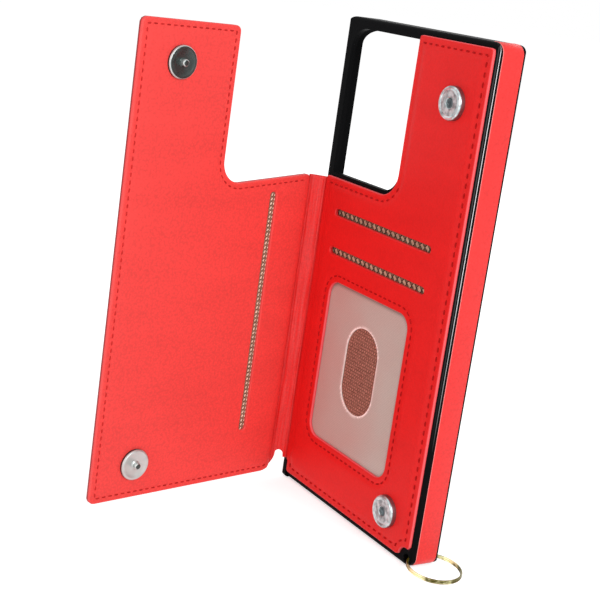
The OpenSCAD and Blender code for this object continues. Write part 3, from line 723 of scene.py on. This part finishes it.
# %% Sew along a line
def sew(name, path, place, surface, material, slot, wanted=None, pitch=3.05, length=1.9, radius=0.24):
    path = np.concatenate([path, path[:1]])
    run = np.concatenate([[0], np.cumsum(np.linalg.norm(np.diff(path, axis=0), axis=1))])
    count = int(run[-1] // pitch)
    middles = (np.arange(count) + 0.5) * run[-1] / count
    if wanted is not None:
        keep = wanted(np.interp(middles, run, path[:, 0]), np.interp(middles, run, path[:, 1]))
        middles = middles[keep]
    along = np.array([-1, -0.9, -0.6, -0.2, 0.2, 0.6, 0.9, 1])
    angles = np.arange(8) * math.pi / 4
    points, faces = [], []
    for middle in middles:
        s = middle + along * length / 2
        u, v = np.interp(s, run, path[:, 0]), np.interp(s, run, path[:, 1])
        tu, tv = np.gradient(u), np.gradient(v)
        size = np.hypot(tu, tv)
        thick = radius * np.sqrt(np.maximum(1 - along**4, 0.05))
        lift = surface(u, v) + radius * (0.35 - 0.9 * along**4)
        pu = u[:, None] - (tv / size * thick)[:, None] * np.cos(angles)
        pv = v[:, None] + (tu / size * thick)[:, None] * np.cos(angles)
        pw = lift[:, None] + thick[:, None] * np.sin(angles)
        new_points, new_faces = loft(place(pu, pv, pw))
        faces += [[i + len(points) * len(new_points) for i in face] for face in new_faces]
        points.append(new_points)
    obj = solid(name, np.concatenate(points), faces, material, slot, sharp=80)
    print(f"{name}: {len(middles)} stitches")
    return obj


# %% [markdown]
# ## The back panel
# The panel leaves the camera opening free, has two card slots and a window, and is scooped out round
# the lug in the lower corner. Its stitch line is pressed in a little, and the leather between the
# seams stands up softly. Booleans could cut the holes, but they would leave sharp edges; as one outline,
# the sheet rolls over every edge.

# %% Soft steps and humps
def smoothstep(a, b, x):
    t = np.clip((x - a) / (b - a), 0, 1)
    return t * t * (3 - 2 * t)


def hump(x, width):
    return np.exp(-((x / width) ** 2))


# %% Outline of the panel
CORNER, SCOOP_CORNER, PAD_CORNER = 1.0, 0.8, 0.5
COLUMN_X = 2.5
OPENING_Z = 113.6
OPENING_R = 8.5
lug = joint_point("ring_swing")
SCOOP_R = 3.6
PAD_X, PAD_Z = shell_lo[0] + 3.2, 6.8
SLOT_X = (-29.35, 25.35)
SLOT_Z = ((87.6, 90.0), (101.0, 103.4))
WINDOW_LO, WINDOW_HI, WINDOW_R = (-26.3, 22.0), (19.9, 78.6), 5.0


def window_edge(u, v):
    return round_box(u, v, WINDOW_LO, WINDOW_HI, WINDOW_R)


def slot_edge(u, v):
    slots = [round_box(u, v, (SLOT_X[0], lo), (SLOT_X[1], hi), (hi - lo) / 2 - 0.05) for lo, hi in SLOT_Z]
    return np.minimum(*slots)


def panel_rim(u, v):
    outline = notched(
        u, v, panel_lo[[0, 2]], panel_hi[[0, 2]], CORNER, COLUMN_X, OPENING_Z, 0.0, OPENING_R
    )
    outline = both(outline, SCOOP_R - np.hypot(u - lug[0], v - lug[2]), SCOOP_CORNER)
    return both(outline, -both(u - PAD_X, v - PAD_Z, PAD_CORNER), PAD_CORNER)


def panel_shape(u, v):
    return np.maximum(panel_rim(u, v), -np.minimum(window_edge(u, v), slot_edge(u, v)))


# %% The panel's face and its sheet
EDGE, SEAM_IN, SEAM_WIDTH = 0.4, 2.3, 0.5
PANEL_SEAM, PANEL_PUFF, PUFF_FROM_TO = 0.16, 0.22, (2.2, 4.6)
PANEL_LIP, LIP_WIDTH, SLOT_PALE = 0.06, 1.1, 0.2


def panel_front(u, v):
    inside, window = -panel_rim(u, v), window_edge(u, v)
    seam = hump(inside - SEAM_IN, SEAM_WIDTH) + hump(window - SEAM_IN, SEAM_WIDTH)
    raised = smoothstep(*PUFF_FROM_TO, inside) * smoothstep(*PUFF_FROM_TO, window)
    lip = hump(slot_edge(u, v), LIP_WIDTH)
    return panel_thick - PANEL_SEAM * seam + PANEL_PUFF * raised + PANEL_LIP * lip


back_panel = leather_sheet(
    "back_panel", panel_shape, panel_lo[[0, 2]], panel_hi[[0, 2]], on_panel,
    panel_front, back=lambda u, v: 0.0, base=0.0, edge=EDGE, cell=0.7,
    material=panel_leather, slot="panel_leather",
    pale=lambda u, v: np.where(slot_edge(u, v) < 1, SLOT_PALE, 1.0),
)
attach(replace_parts(back_panel, "back_leather"), "tray")


# %% Stitches of the panel
SEAM_PLAY, BARE_FROM = 0.6, 6.0


def on_sewn_edges(u, v):
    """Everywhere but along the crease and the upright edge of the camera opening."""
    beside_crease = u < panel_lo[0] + SEAM_IN + SEAM_PLAY
    beside_opening = (u < COLUMN_X + SEAM_IN + SEAM_PLAY) & (v > OPENING_Z + BARE_FROM)
    return ~(beside_crease | beside_opening)


panel_seam = walk(panel_rim, -SEAM_IN, (0.0, panel_lo[2] + SEAM_IN))
panel_stitches = sew(
    "panel_stitches", panel_seam, on_panel, panel_front, panel_thread, "panel_leather", on_sewn_edges,
    radius=0.3,
)
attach(panel_stitches, "tray")
window_seam = walk(window_edge, SEAM_IN, (0.0, WINDOW_LO[1] - SEAM_IN))
window_stitches = sew(
    "window_stitches", window_seam, on_panel, panel_front, panel_thread, "panel_leather",
    pitch=2.7, radius=0.28,
)
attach(window_stitches, "tray")

# %% [markdown]
# ## The window film
# The film lies behind the panel and has a long thumb hole for pushing a card out. Its cut edge is
# pressed flat, which shows as a pale line. Where it runs in under the panel it is darkened with
# painted shadow, most of all at the top and at the open side; the "rim" value is below zero there.
# It is built as the leather is, only thinner.

# %% Window film
film_lo, film_hi = node_box("window_film")
film_depth = film_hi[1] - film_lo[1]
THUMB_SIZE, THUMB_AT, FILM_CORNER = (18.0, 30.4), (-3.2, 52.1), 1.0
CUT_FROM_TO, SHADOW_FROM_TO, SHADOW_SHIFT = (0.5, 0.9), (-1.3, 0.3), 0.5


def thumb_edge(u, v):
    half = np.array(THUMB_SIZE) / 2
    return round_box(u, v, THUMB_AT - half, THUMB_AT + half, half[0] - 0.05)


def film_shape(u, v):
    outline = round_box(u, v, film_lo[[0, 2]], film_hi[[0, 2]], FILM_CORNER)
    return np.maximum(outline, -thumb_edge(u, v))


def film_cut_edge_and_shadow(u, v):
    # Painted shadow along the window's edge, shifted so that it is darkest at the top and the open side.
    painted_shadow = smoothstep(*SHADOW_FROM_TO, window_edge(u + SHADOW_SHIFT, v + SHADOW_SHIFT))
    return 1 - smoothstep(*CUT_FROM_TO, thumb_edge(u, v)) - painted_shadow


window_film = leather_sheet(
    "film", film_shape, film_lo[[0, 2]], film_hi[[0, 2]], on_panel,
    front=lambda u, v: 0.0 * u, back=lambda u, v: -film_depth, base=-film_depth, edge=0.1, cell=0.6,
    material=film, slot="window_film", glow=film_cut_edge_and_shadow,
)
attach(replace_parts(window_film, "window_film"), "tray")

# %% [markdown]
# ## The flap
# Two leathers cover a board and meet round the edge. The inner one has the long pocket slit. Towards
# the fold both come down to the thin pressed leather of the crease. They are two sheets from one outline,
# so their edges meet.

# %% Outline of the flap
FOLD_EDGE = 0.55
FLAP_NOTCH = (40.6, 109.0)
FLAP_RISE = 4.0
FLAP_NOTCH_R = 8.5
FLAP_CORNER = 2.0
SLIT_AT, SLIT_HALF, SLIT_Z = 17.2, 1.35, (19.5, 106.7)
spine_lo, spine_hi = node_box("spine_inner_leather")
ARCH_R, ARCH_H = 1.5, 2.6
ARCH_FOOT = spine_lo[2] + ARCH_H - ARCH_R
FOLD_CORNER = ARCH_FOOT - flap_low
FOLD_CORNER_U = FOLD_CORNER + ARCH_R - spine_width / 2
flap_lo, flap_hi = (FOLD_EDGE, flap_low), (flap_edge, flap_high)


def flap_rim(u, v):
    """The lower corner at the fold is the end of a wide round that starts at the notch in the spine."""
    low_fold_corner = (u < 20) & (v < 40)
    outline = notched(
        u, v, flap_lo, flap_hi, np.where(low_fold_corner, 0.1, FLAP_CORNER),
        *FLAP_NOTCH, FLAP_RISE, FLAP_NOTCH_R,
    )
    wide = np.hypot(np.minimum(u - FOLD_CORNER_U, 0), np.minimum(v - ARCH_FOOT, 0)) - FOLD_CORNER
    return np.maximum(outline, wide)


def slit_edge(u, v):
    lo, hi = (SLIT_AT - SLIT_HALF, SLIT_Z[0]), (SLIT_AT + SLIT_HALF, SLIT_Z[1])
    return round_box(u, v, lo, hi, SLIT_HALF - 0.05)


def flap_inner_shape(u, v):
    return np.maximum(flap_rim(u, v), -slit_edge(u, v))


# %% Flap leathers
FLAP_SEAM_IN = 1.9
BOARD_HALF, THIN_SKIN, FOLD_THICK, FALL_FROM = 0.4, 0.25, 0.32, 2.4
FLAP_SEAM, FLAP_PUFF, FLAP_PUFF_FROM_TO = 0.12, 0.08, (2.0, 7.5)
POCKET_LIP, POCKET_LIP_WIDTH = 0.10, 1.4


def flap_front(u, v):
    inside = -flap_rim(u, v)
    seam = hump(inside - FLAP_SEAM_IN, SEAM_WIDTH)
    raised = smoothstep(*FLAP_PUFF_FROM_TO, inside)
    fall = (flap_half - FOLD_THICK) * (1 - smoothstep(FOLD_EDGE, FALL_FROM, u))
    return flap_half - FLAP_SEAM * seam + FLAP_PUFF * raised - fall


def flap_back(u, v):
    return np.minimum(BOARD_HALF, flap_front(u, v) - THIN_SKIN)


def pocket_front(u, v):
    return flap_front(u, v) + POCKET_LIP * hump(slit_edge(u, v), POCKET_LIP_WIDTH)


flap_inner = leather_sheet(
    "flap_inner_skin", flap_inner_shape, flap_lo, flap_hi, on_flap, pocket_front, flap_back,
    base=0.0, edge=EDGE, cell=0.7, material=flap_leather, slot="flap_leather",
)
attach(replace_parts(flap_inner, "flap_inner_leather"), "flap")
# The outer skin's dark edge tone is painted shadow.
flap_outer = leather_sheet(
    "flap_outer_skin", flap_rim, flap_lo, flap_hi, off_flap, flap_front, flap_back,
    base=0.0, edge=EDGE, cell=0.9, material=outer_leather, slot="panel_leather",
)
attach(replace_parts(flap_outer, "flap_outer_leather"), "flap")

# %% Stitches of the flap
flap_seam = walk(flap_rim, -FLAP_SEAM_IN, (30.0, flap_low + FLAP_SEAM_IN))
for side_name, place, thread_material, slot_name in (
    ("inner", on_flap, flap_thread, "flap_leather"), ("outer", off_flap, panel_thread, "panel_leather"),
):
    flap_stitches = sew(
        f"flap_{side_name}_stitches", flap_seam, place, flap_front, thread_material, slot_name,
        lambda u, v: u > FOLD_EDGE + FLAP_SEAM_IN + SEAM_PLAY, pitch=2.5, length=1.6,
    )
    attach(flap_stitches, "flap")

# %% [markdown]
# ## The spine
# The spine bends at both creases. One strip can follow only two bodies, and the spine joins three. It
# is made as two bands that meet at its middle: each lies along one piece on one side of its crease and
# along the next on the other, and turns smoothly between them.

# %% A band round a crease
SPINE_HALF, CREASE_HALF = 0.58, 0.25
BEND, CREASE_SHADE_WIDTH, BAND_STEPS = 0.45, 0.3, 29


def spine_band(name, corner, before, after, start, end, spine_first):
    """A band along the middle line before -> corner -> after, from start to end, in mm from the corner."""
    steps = np.linspace(start, end, BAND_STEPS)
    middle = corner + steps[:, None] * np.where(steps[:, None] < 0, before, after)
    t = np.clip((steps + BEND) / (2 * BEND), 0, 1)[:, None]
    bend_in, bend_out = corner - BEND * before, corner + BEND * after
    curve = (1 - t) ** 2 * bend_in + 2 * t * (1 - t) * corner + t**2 * bend_out
    middle = np.where(np.abs(steps)[:, None] < BEND, curve, middle)
    tangent = np.gradient(middle, axis=0)
    tangent /= np.linalg.norm(tangent, axis=1)[:, None]
    out = np.stack([-tangent[:, 1], tangent[:, 0]], -1)
    spine_side = -steps if spine_first else steps
    half = CREASE_HALF + (SPINE_HALF - CREASE_HALF) * smoothstep(0.3, 1.1, spine_side)
    from_crease = spine_width + steps if spine_first else steps
    past_middle = from_crease - spine_width / 2
    arch = ARCH_FOOT + np.sqrt(np.maximum(ARCH_R**2 - past_middle**2, 0))
    to_flap = ARCH_R + FOLD_CORNER - past_middle
    wide = ARCH_FOOT - np.sqrt(np.maximum(FOLD_CORNER**2 - to_flap**2, 0))
    low = np.where(past_middle < -ARCH_R, spine_lo[2], np.where(past_middle < ARCH_R, arch, wide))
    rows = np.concatenate([[0, 0.15, 0.4], np.linspace(1.0, 99.0, 50), [99.6, 99.85, 100]]) / 100
    shrink = 1 - 0.5 * (1 - np.minimum(np.minimum(rows, 1 - rows) / 0.004, 1)) ** 2
    loops = []
    for share, slim in zip(rows, shrink):
        z = low + share * (spine_hi[2] - low)
        sides = [np.column_stack([middle + side * slim * half[:, None] * out, z]) for side in (1, -1)]
        loops.append(np.concatenate([sides[0], sides[1][::-1]]))
    # Painted shade: the band is darkened along its crease, more at the panel's crease.
    dark = (0.35 if spine_first else 0.75) * hump(steps, CREASE_SHADE_WIDTH)
    rim = np.tile(np.concatenate([dark, dark]), len(loops))
    points, faces = loft(np.array(loops), strip_caps=True)
    obj = solid(name, points, faces, spine_leather, "spine_leather", rim, sharp=60)
    print(f"{name}: from {start:.1f} to {end:.1f} mm round its crease")
    return obj


# %% The two bands
half_spine = spine_width / 2
tray_band = spine_band(
    "spine_at_panel", crease, np.array([-1.0, 0.0]), spine_along,
    start=-0.4, end=half_spine, spine_first=False,
)
flap_band = spine_band(
    "spine_at_flap", fold, spine_along, flap_along,
    start=-half_spine, end=FOLD_EDGE - 0.05, spine_first=True,
)


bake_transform(tray_band)
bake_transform(flap_band)
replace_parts(tray_band, "spine_inner_leather")
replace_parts(flap_band, "spine_outer_leather")

# %% [markdown]
# ## Snaps and studs
# The sockets are drawn caps: a rolled rim, a flat step, and a small collar round the hole that takes
# the stud. The studs on the flap are shallow dishes with a round button in the middle. All are round, so
# each is a profile spun round its axis.

# %% Profiles of the sockets and the studs
HOLE_R = 1.6


def socket_profile(radius, height):
    hole = HOLE_R
    return [
        (0, 0.15), (hole / 2, 0.15), (hole - 0.1, 0.15), (hole, 0.25), (hole, height - 0.34),
        (hole + 0.1, height - 0.22), (hole + 0.3, height - 0.16), (hole + 0.6, height - 0.2),
        (hole + 0.8, height - 0.24),
        (radius - 1.5, height - 0.22), (radius - 1.2, height - 0.16), (radius - 0.9, height - 0.04),
        (radius - 0.65, height), (radius - 0.4, height - 0.05), (radius - 0.2, height - 0.2),
        (radius - 0.05, height - 0.45), (radius, height - 0.8), (radius, 0.12), (radius - 0.1, 0.02),
        (0, 0.02),
    ]


def stud_profile(radius, height, button, button_height):
    top = height + button_height
    return [
        (0, top - 0.05), (button * 0.45, top - 0.02), (button * 0.75, top - 0.1),
        (button * 0.95, top - 0.35), (button, top - 0.6), (button * 0.9, height + 0.3),
        (button * 0.92, height - 0.1),
        (button + 0.35, height - 0.42), (radius - 1.9, height - 0.36), (radius - 1.1, height - 0.12),
        (radius - 0.7, height), (radius - 0.35, height - 0.06), (radius - 0.1, height - 0.28),
        (radius, height - 0.6), (radius, 0.12), (radius - 0.1, 0.02), (0, 0.02),
    ]


# %% Turn and plate the sockets and the studs
PLATE_HIGH, BUTTON_R, WALL_SKIN = 1.4, 1.2, 0.04
HOLE_SHADE_RING, DISH_RING, BUTTON_DARK_REFLECTION, DARK_DISH_REFLECTION = (0.8, 1.57), (1.75, 3.8), (0.0, 0.8), (1.3, 0.3)


def paint_ring(obj, centre, normal, inner, outer, material):
    """Gives the faces between two radii round an axis one more material."""
    obj.data.materials.append(material)
    for polygon in obj.data.polygons:
        arm = np.array(polygon.center) / MM - centre
        if inner < np.linalg.norm(arm - (arm @ normal) * normal) < outer:
            polygon.material_index = len(obj.data.materials) - 1


for place_name in ("upper", "lower"):
    lo, hi = node_box(f"snap_cap_{place_name}")
    middle = (lo + hi) / 2
    profile = socket_profile((hi[0] - lo[0]) / 2, panel_lo[1] - lo[1])
    lifted = [(r, h + panel_thick) for r, h in profile]
    cap = solid(
        f"socket_{place_name}", *turned(lifted, (middle[0], middle[2]), on_panel), chrome, "snap_chrome"
    )
    wall = (hi[0] - lo[0]) / 2 - WALL_SKIN
    # Painted shade: a dark ring in the hole and a darker outer wall; the dish gets the duller plate.
    for radii, plating in ((HOLE_SHADE_RING, magnet_and_hole_shade), (DISH_RING, dull), ((wall, wall + 1), steel_and_wall_shade)):
        paint_ring(cap, middle, np.array([0.0, 1.0, 0.0]), *radii, plating)
    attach(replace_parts(cap, f"snap_cap_{place_name}"), "tray")
    points = node_points(f"stud_{place_name}")
    along = (points[:, :2] - fold) @ flap_along
    out = (points[:, :2] - fold) @ flap_out
    centre = ((along.min() + along.max()) / 2, (points[:, 2].min() + points[:, 2].max()) / 2)
    plate = (points[:, 2].max() - points[:, 2].min()) / 2
    button_high = out.max() - flap_half - PLATE_HIGH
    profile = [(r, h + flap_half) for r, h in stud_profile(plate, PLATE_HIGH, BUTTON_R, button_high)]
    stud = solid(f"stud_plate_{place_name}", *turned(profile, centre, on_flap), satin, "snap_chrome")
    seat, stud_axis = on_flap(np.array(centre[0]), np.array(centre[1]), 0.0), np.append(flap_out, 0.0)
    # Painted shade and reflection: a dark button tip and a dark outline round the side; the upper stud also
    # gets a dark dish.
    shade_and_reflection_rings = [BUTTON_DARK_REFLECTION, (plate - WALL_SKIN, plate + 1)]
    if place_name == "upper":
        shade_and_reflection_rings.append((DARK_DISH_REFLECTION[0], plate - DARK_DISH_REFLECTION[1]))
    for radii in shade_and_reflection_rings:
        paint_ring(stud, seat, stud_axis, *radii, shade_and_reflection_plate)
    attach(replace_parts(stud, f"stud_{place_name}"), "flap")
    print(f"{place_name}: socket {hi[0] - lo[0]:.1f} mm, stud {2 * plate:.1f} mm wide")

# %% [markdown]
# ## The side strip
# A strip of leather is glued into a seat round the tray's open side and turns over both corners. It is
# swept along that line with a section that has rounded edges. A bevelled curve could do that, but here
# each point of the section has its own "rim" value.

# %% Line of the strip
strip_lo, strip_hi = node_box("side_strip_open")
CORNER_R, STRIP_WRAP = 3.5, 1.8
proud = strip_hi[0] - shell_hi[0]
corner_x = shell_hi[0] - CORNER_R
lower_end = math.acos((CORNER_R - STRIP_WRAP) / (CORNER_R + proud))
over = np.linspace(strip_lo[0], corner_x, 6)[:-1]
top_arc, low_arc = np.linspace(math.pi / 2, 0, 16), np.linspace(0, -lower_end, 12)
straight = np.linspace(shell_hi[2] - CORNER_R, shell_lo[2] + CORNER_R, 60)[1:-1]
centres = np.concatenate(
    [
        np.column_stack([over, np.full(len(over), shell_hi[2] - CORNER_R)]),
        np.tile([corner_x, shell_hi[2] - CORNER_R], (len(top_arc), 1)),
        np.column_stack([np.full(len(straight), corner_x), straight]),
        np.tile([corner_x, shell_lo[2] + CORNER_R], (len(low_arc), 1)),
    ]
)
angles = np.concatenate([np.full(len(over), math.pi / 2), top_arc, np.zeros(len(straight)), low_arc])
normals = np.column_stack([np.cos(angles), np.sin(angles)])
print(f"side strip: {len(centres)} places along its line")

# %% Section and sweep of the strip
STRIP_SKIN, STRIP_EDGE = 0.6, 0.3
face = CORNER_R + proud
rounds = [
    (STRIP_EDGE * (1 - math.cos(a)), STRIP_EDGE * (1 - math.sin(a))) for a in np.linspace(0, math.pi / 2, 5)
]
section = [(strip_lo[1], face - STRIP_SKIN)]
section += [(strip_lo[1] + x, face - y) for x, y in rounds]
section += [(strip_hi[1] - y, face - x) for x, y in rounds]
section += [(strip_hi[1], face - STRIP_SKIN)]
loops = np.array(
    [[(c[0] + r * n[0], y, c[1] + r * n[1]) for y, r in section] for c, n in zip(centres, normals)]
)
# The pale tone on the strip's borders is partly the cut edge's colour and partly painted highlight.
strip_rim = np.tile([1, 1, 1, 0.8, 0.3, 0, 0, 0, 0, 0.3, 0.6, 0.6], len(loops))
strip = solid("side_strip_skin", *loft(loops), strip_leather, "strip_leather", strip_rim, sharp=80)
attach(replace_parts(strip, "side_strip_open"), "tray")
print(f"side strip: {len(loops)} loops of {len(section)} points")

# %% [markdown]
# ## The split ring
# Spring wire is wound in two turns that lie side by side and cross over once. A bevelled curve could
# give the wire too; its loops are computed here, so that the crossing comes where it should.

# %% Place of the split ring
ring_lo, ring_hi = node_box("lanyard_ring")
ring_centre = (ring_lo + ring_hi) / 2
ring_points = node_points("lanyard_ring") - ring_centre
axis = np.linalg.svd(ring_points, full_matrices=False)[2][2]
first = np.cross(axis, [0.0, 1.0, 0.0])
first /= np.linalg.norm(first)
second = np.cross(axis, first)
reach = np.hypot(ring_points @ first, ring_points @ second)
ring_radius = (reach.min() + reach.max()) / 2
print("ring centre in mm:", np.round(ring_centre, 2), "mean radius:", round(ring_radius, 2))

# %% Wind the wire
WIRE, TURN_GAP = 0.7, 0.72
WOUND, WIRE_END, CROSSING = 0.995, math.radians(200), (0.42, 0.58)
steps = np.linspace(0, 1, 361)
sweep = 4 * math.pi * steps * WOUND + WIRE_END
shift = TURN_GAP * (smoothstep(*CROSSING, steps) - 0.5)
radial = np.cos(sweep)[:, None] * first + np.sin(sweep)[:, None] * second
path = ring_centre + ring_radius * radial + shift[:, None] * axis
round_section = np.linspace(0, 2 * math.pi, 13)[:-1]
loops = np.array(
    [
        [p + WIRE / 2 * (math.cos(a) * r + math.sin(a) * axis) for a in round_section]
        for p, r in zip(path, radial)
    ]
)
ring = solid("split_ring", *loft(loops), gold, "ring_gold", sharp=60)
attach(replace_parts(ring, "lanyard_ring"), "ring")
print(f"split ring: {len(loops)} loops of wire {WIRE} mm thick")

# %% [markdown]
# ## Materials of the CAD pieces
# The tray, the flat linings and the hidden pieces look right with their CAD mesh and only need a
# material.

# %% Dress the CAD nodes
dress = {
    "phone_shell": tpu, "side_strip_fold": strip_leather, "slot_lining_upper": panel_lining,
    "slot_lining_lower": panel_lining, "flap_pocket_lining": flap_lining, "flap_board": board,
}
for place_name in ("upper", "lower"):
    dress[f"snap_magnet_{place_name}"] = magnet_and_hole_shade
    for hidden in ("snap_base", "snap_washer", "stud_washer"):
        dress[f"{hidden}_{place_name}"] = steel_and_wall_shade
for node, material in dress.items():
    mesh = frame["nodes"][node].data
    mesh.materials.clear()
    mesh.materials.append(material)
print("dressed CAD nodes:", len(dress))

# %% [markdown]
# ## Floor, light and camera
# The case stands on a pale floor in even studio light. The key comes from the open side, so the flap
# and the strip are lighter than the panel, and their colours are painted lighter as well; a lamp
# behind shows the tray's inside from the other side.
# Floor and world look white where they are seen, straight or in metal and film, without more light on
# the case. The camera stands to the right, a little above, rolled as the photo is.

# %% Floor
FLOOR_Z = min(shell_lo[2], ring_lo[2]) - 0.05
FLOOR_HALF = 6.0
FLOOR_LIFT = 0.55
scene = bpy.context.scene


def seen(tree):
    """1 for rays from the camera, from metal and through film; 0 for the light that falls on things."""
    rays = add(tree, "ShaderNodeLightPath").outputs
    direct = add(
        tree, "ShaderNodeMath", {0: rays["Is Camera Ray"], 1: rays["Is Glossy Ray"]}, operation="MAXIMUM"
    )
    shown = add(
        tree, "ShaderNodeMath", {0: direct.outputs["Value"], 1: rays["Is Transmission Ray"]},
        operation="MAXIMUM",
    )
    return shown.outputs["Value"]


corners = [(x * FLOOR_HALF, y * FLOOR_HALF, FLOOR_Z * MM) for x, y in ((-1, -1), (1, -1), (1, 1), (-1, 1))]
floor_mesh = bpy.data.meshes.new("floor")
floor_mesh.from_pydata(corners, [], [(0, 1, 2, 3)])
floor = bpy.data.objects.new("floor", floor_mesh)
scene.collection.objects.link(floor)
paper = bpy.data.materials.new("white_paper_floor")
paper.use_nodes = True
tree = paper.node_tree
tree.nodes.clear()
fibre = add(tree, "ShaderNodeTexNoise", {"Scale": per_mm(0.002), "Detail": 2.0})
pulp = add(
    tree, "ShaderNodeMix",
    {"Factor": fibre.outputs["Fac"], "A": linear("#EEEEEE"), "B": linear("#F4F4F4")}, data_type="RGBA",
)
matt = add(tree, "ShaderNodeBsdfDiffuse", {"Color": pulp.outputs["Result"]})
share = add(tree, "ShaderNodeMath", {0: seen(tree), 1: FLOOR_LIFT}, operation="MULTIPLY")
lift = add(tree, "ShaderNodeEmission", {"Color": linear("#FFFFFF"), "Strength": share.outputs["Value"]})
sheet = add(tree, "ShaderNodeAddShader", {0: matt.outputs["BSDF"], 1: lift.outputs["Emission"]})
add(tree, "ShaderNodeOutputMaterial", {"Surface": sheet.outputs["Shader"]})
floor_mesh.materials.append(paper)
print(f"floor {2 * FLOOR_HALF:.0f} m wide, at {FLOOR_Z:.2f} mm")

# %% World
AMBIENT = 0.55
scene.view_settings.view_transform = "Standard"
world = bpy.data.worlds.new("studio")
scene.world = world
world.use_nodes = True
tree = world.node_tree
tree.nodes.clear()
strength = add(tree, "ShaderNodeMapRange", {"Value": seen(tree), "To Min": AMBIENT, "To Max": 1.0})
sky = add(
    tree, "ShaderNodeBackground", {"Color": linear("#FFFFFF"), "Strength": strength.outputs["Result"]}
)
add(tree, "ShaderNodeOutputWorld", {"Surface": sky.outputs["Background"]})
print("world light:", AMBIENT)

# %% Lights
AIM = Vector((0.0, -0.03, 0.085))
for name, spot, size, power in (
    ("key", (0.75, -0.05, 0.45), 0.5, 3.8),
    ("fill", (0.15, -0.85, 0.35), 0.6, 2.3),
    ("back", (-0.35, 0.85, 0.45), 0.6, 2.6),
):
    light = bpy.data.lights.new(name, "AREA")
    light.shape, light.size, light.energy = "DISK", size, power
    lamp = bpy.data.objects.new(name, light)
    lamp.location = spot
    lamp.rotation_euler = (AIM - Vector(spot)).to_track_quat("-Z", "Y").to_euler()
    scene.collection.objects.link(lamp)
    print(f"{name} lamp: {size:.1f} m wide, {power:.1f} W")

# %% Camera
CAMERA_AT = np.array([337.8, -259.3, 181.3])
LOOK = np.array([-0.8124, 0.5413, -0.2168])
ROLL = math.radians(8.19)
LENS_MM, SENSOR_MM, SHIFT = 78.44, 36.0, -0.06
CASE_MIDDLE = (0, 0, 85)
ahead = Vector(LOOK).normalized()
level_right = ahead.cross(Vector((0, 0, 1))).normalized()
level_up = level_right.cross(ahead)
right = level_right * math.cos(ROLL) + level_up * math.sin(ROLL)
up = right.cross(ahead)
camera_data = bpy.data.cameras.new("camera")
camera_data.sensor_width, camera_data.lens = SENSOR_MM, LENS_MM
camera_data.shift_y = SHIFT
camera_data.clip_start, camera_data.clip_end = 0.01, 20
camera = bpy.data.objects.new("camera", camera_data)
rotation = Matrix((right, up, -ahead)).transposed().to_4x4()
camera.matrix_world = Matrix.Translation(Vector(CAMERA_AT * MM)) @ rotation
scene.collection.objects.link(camera)
scene.camera = camera
print("camera stands", round(np.linalg.norm(CAMERA_AT - CASE_MIDDLE)), "mm from the case")
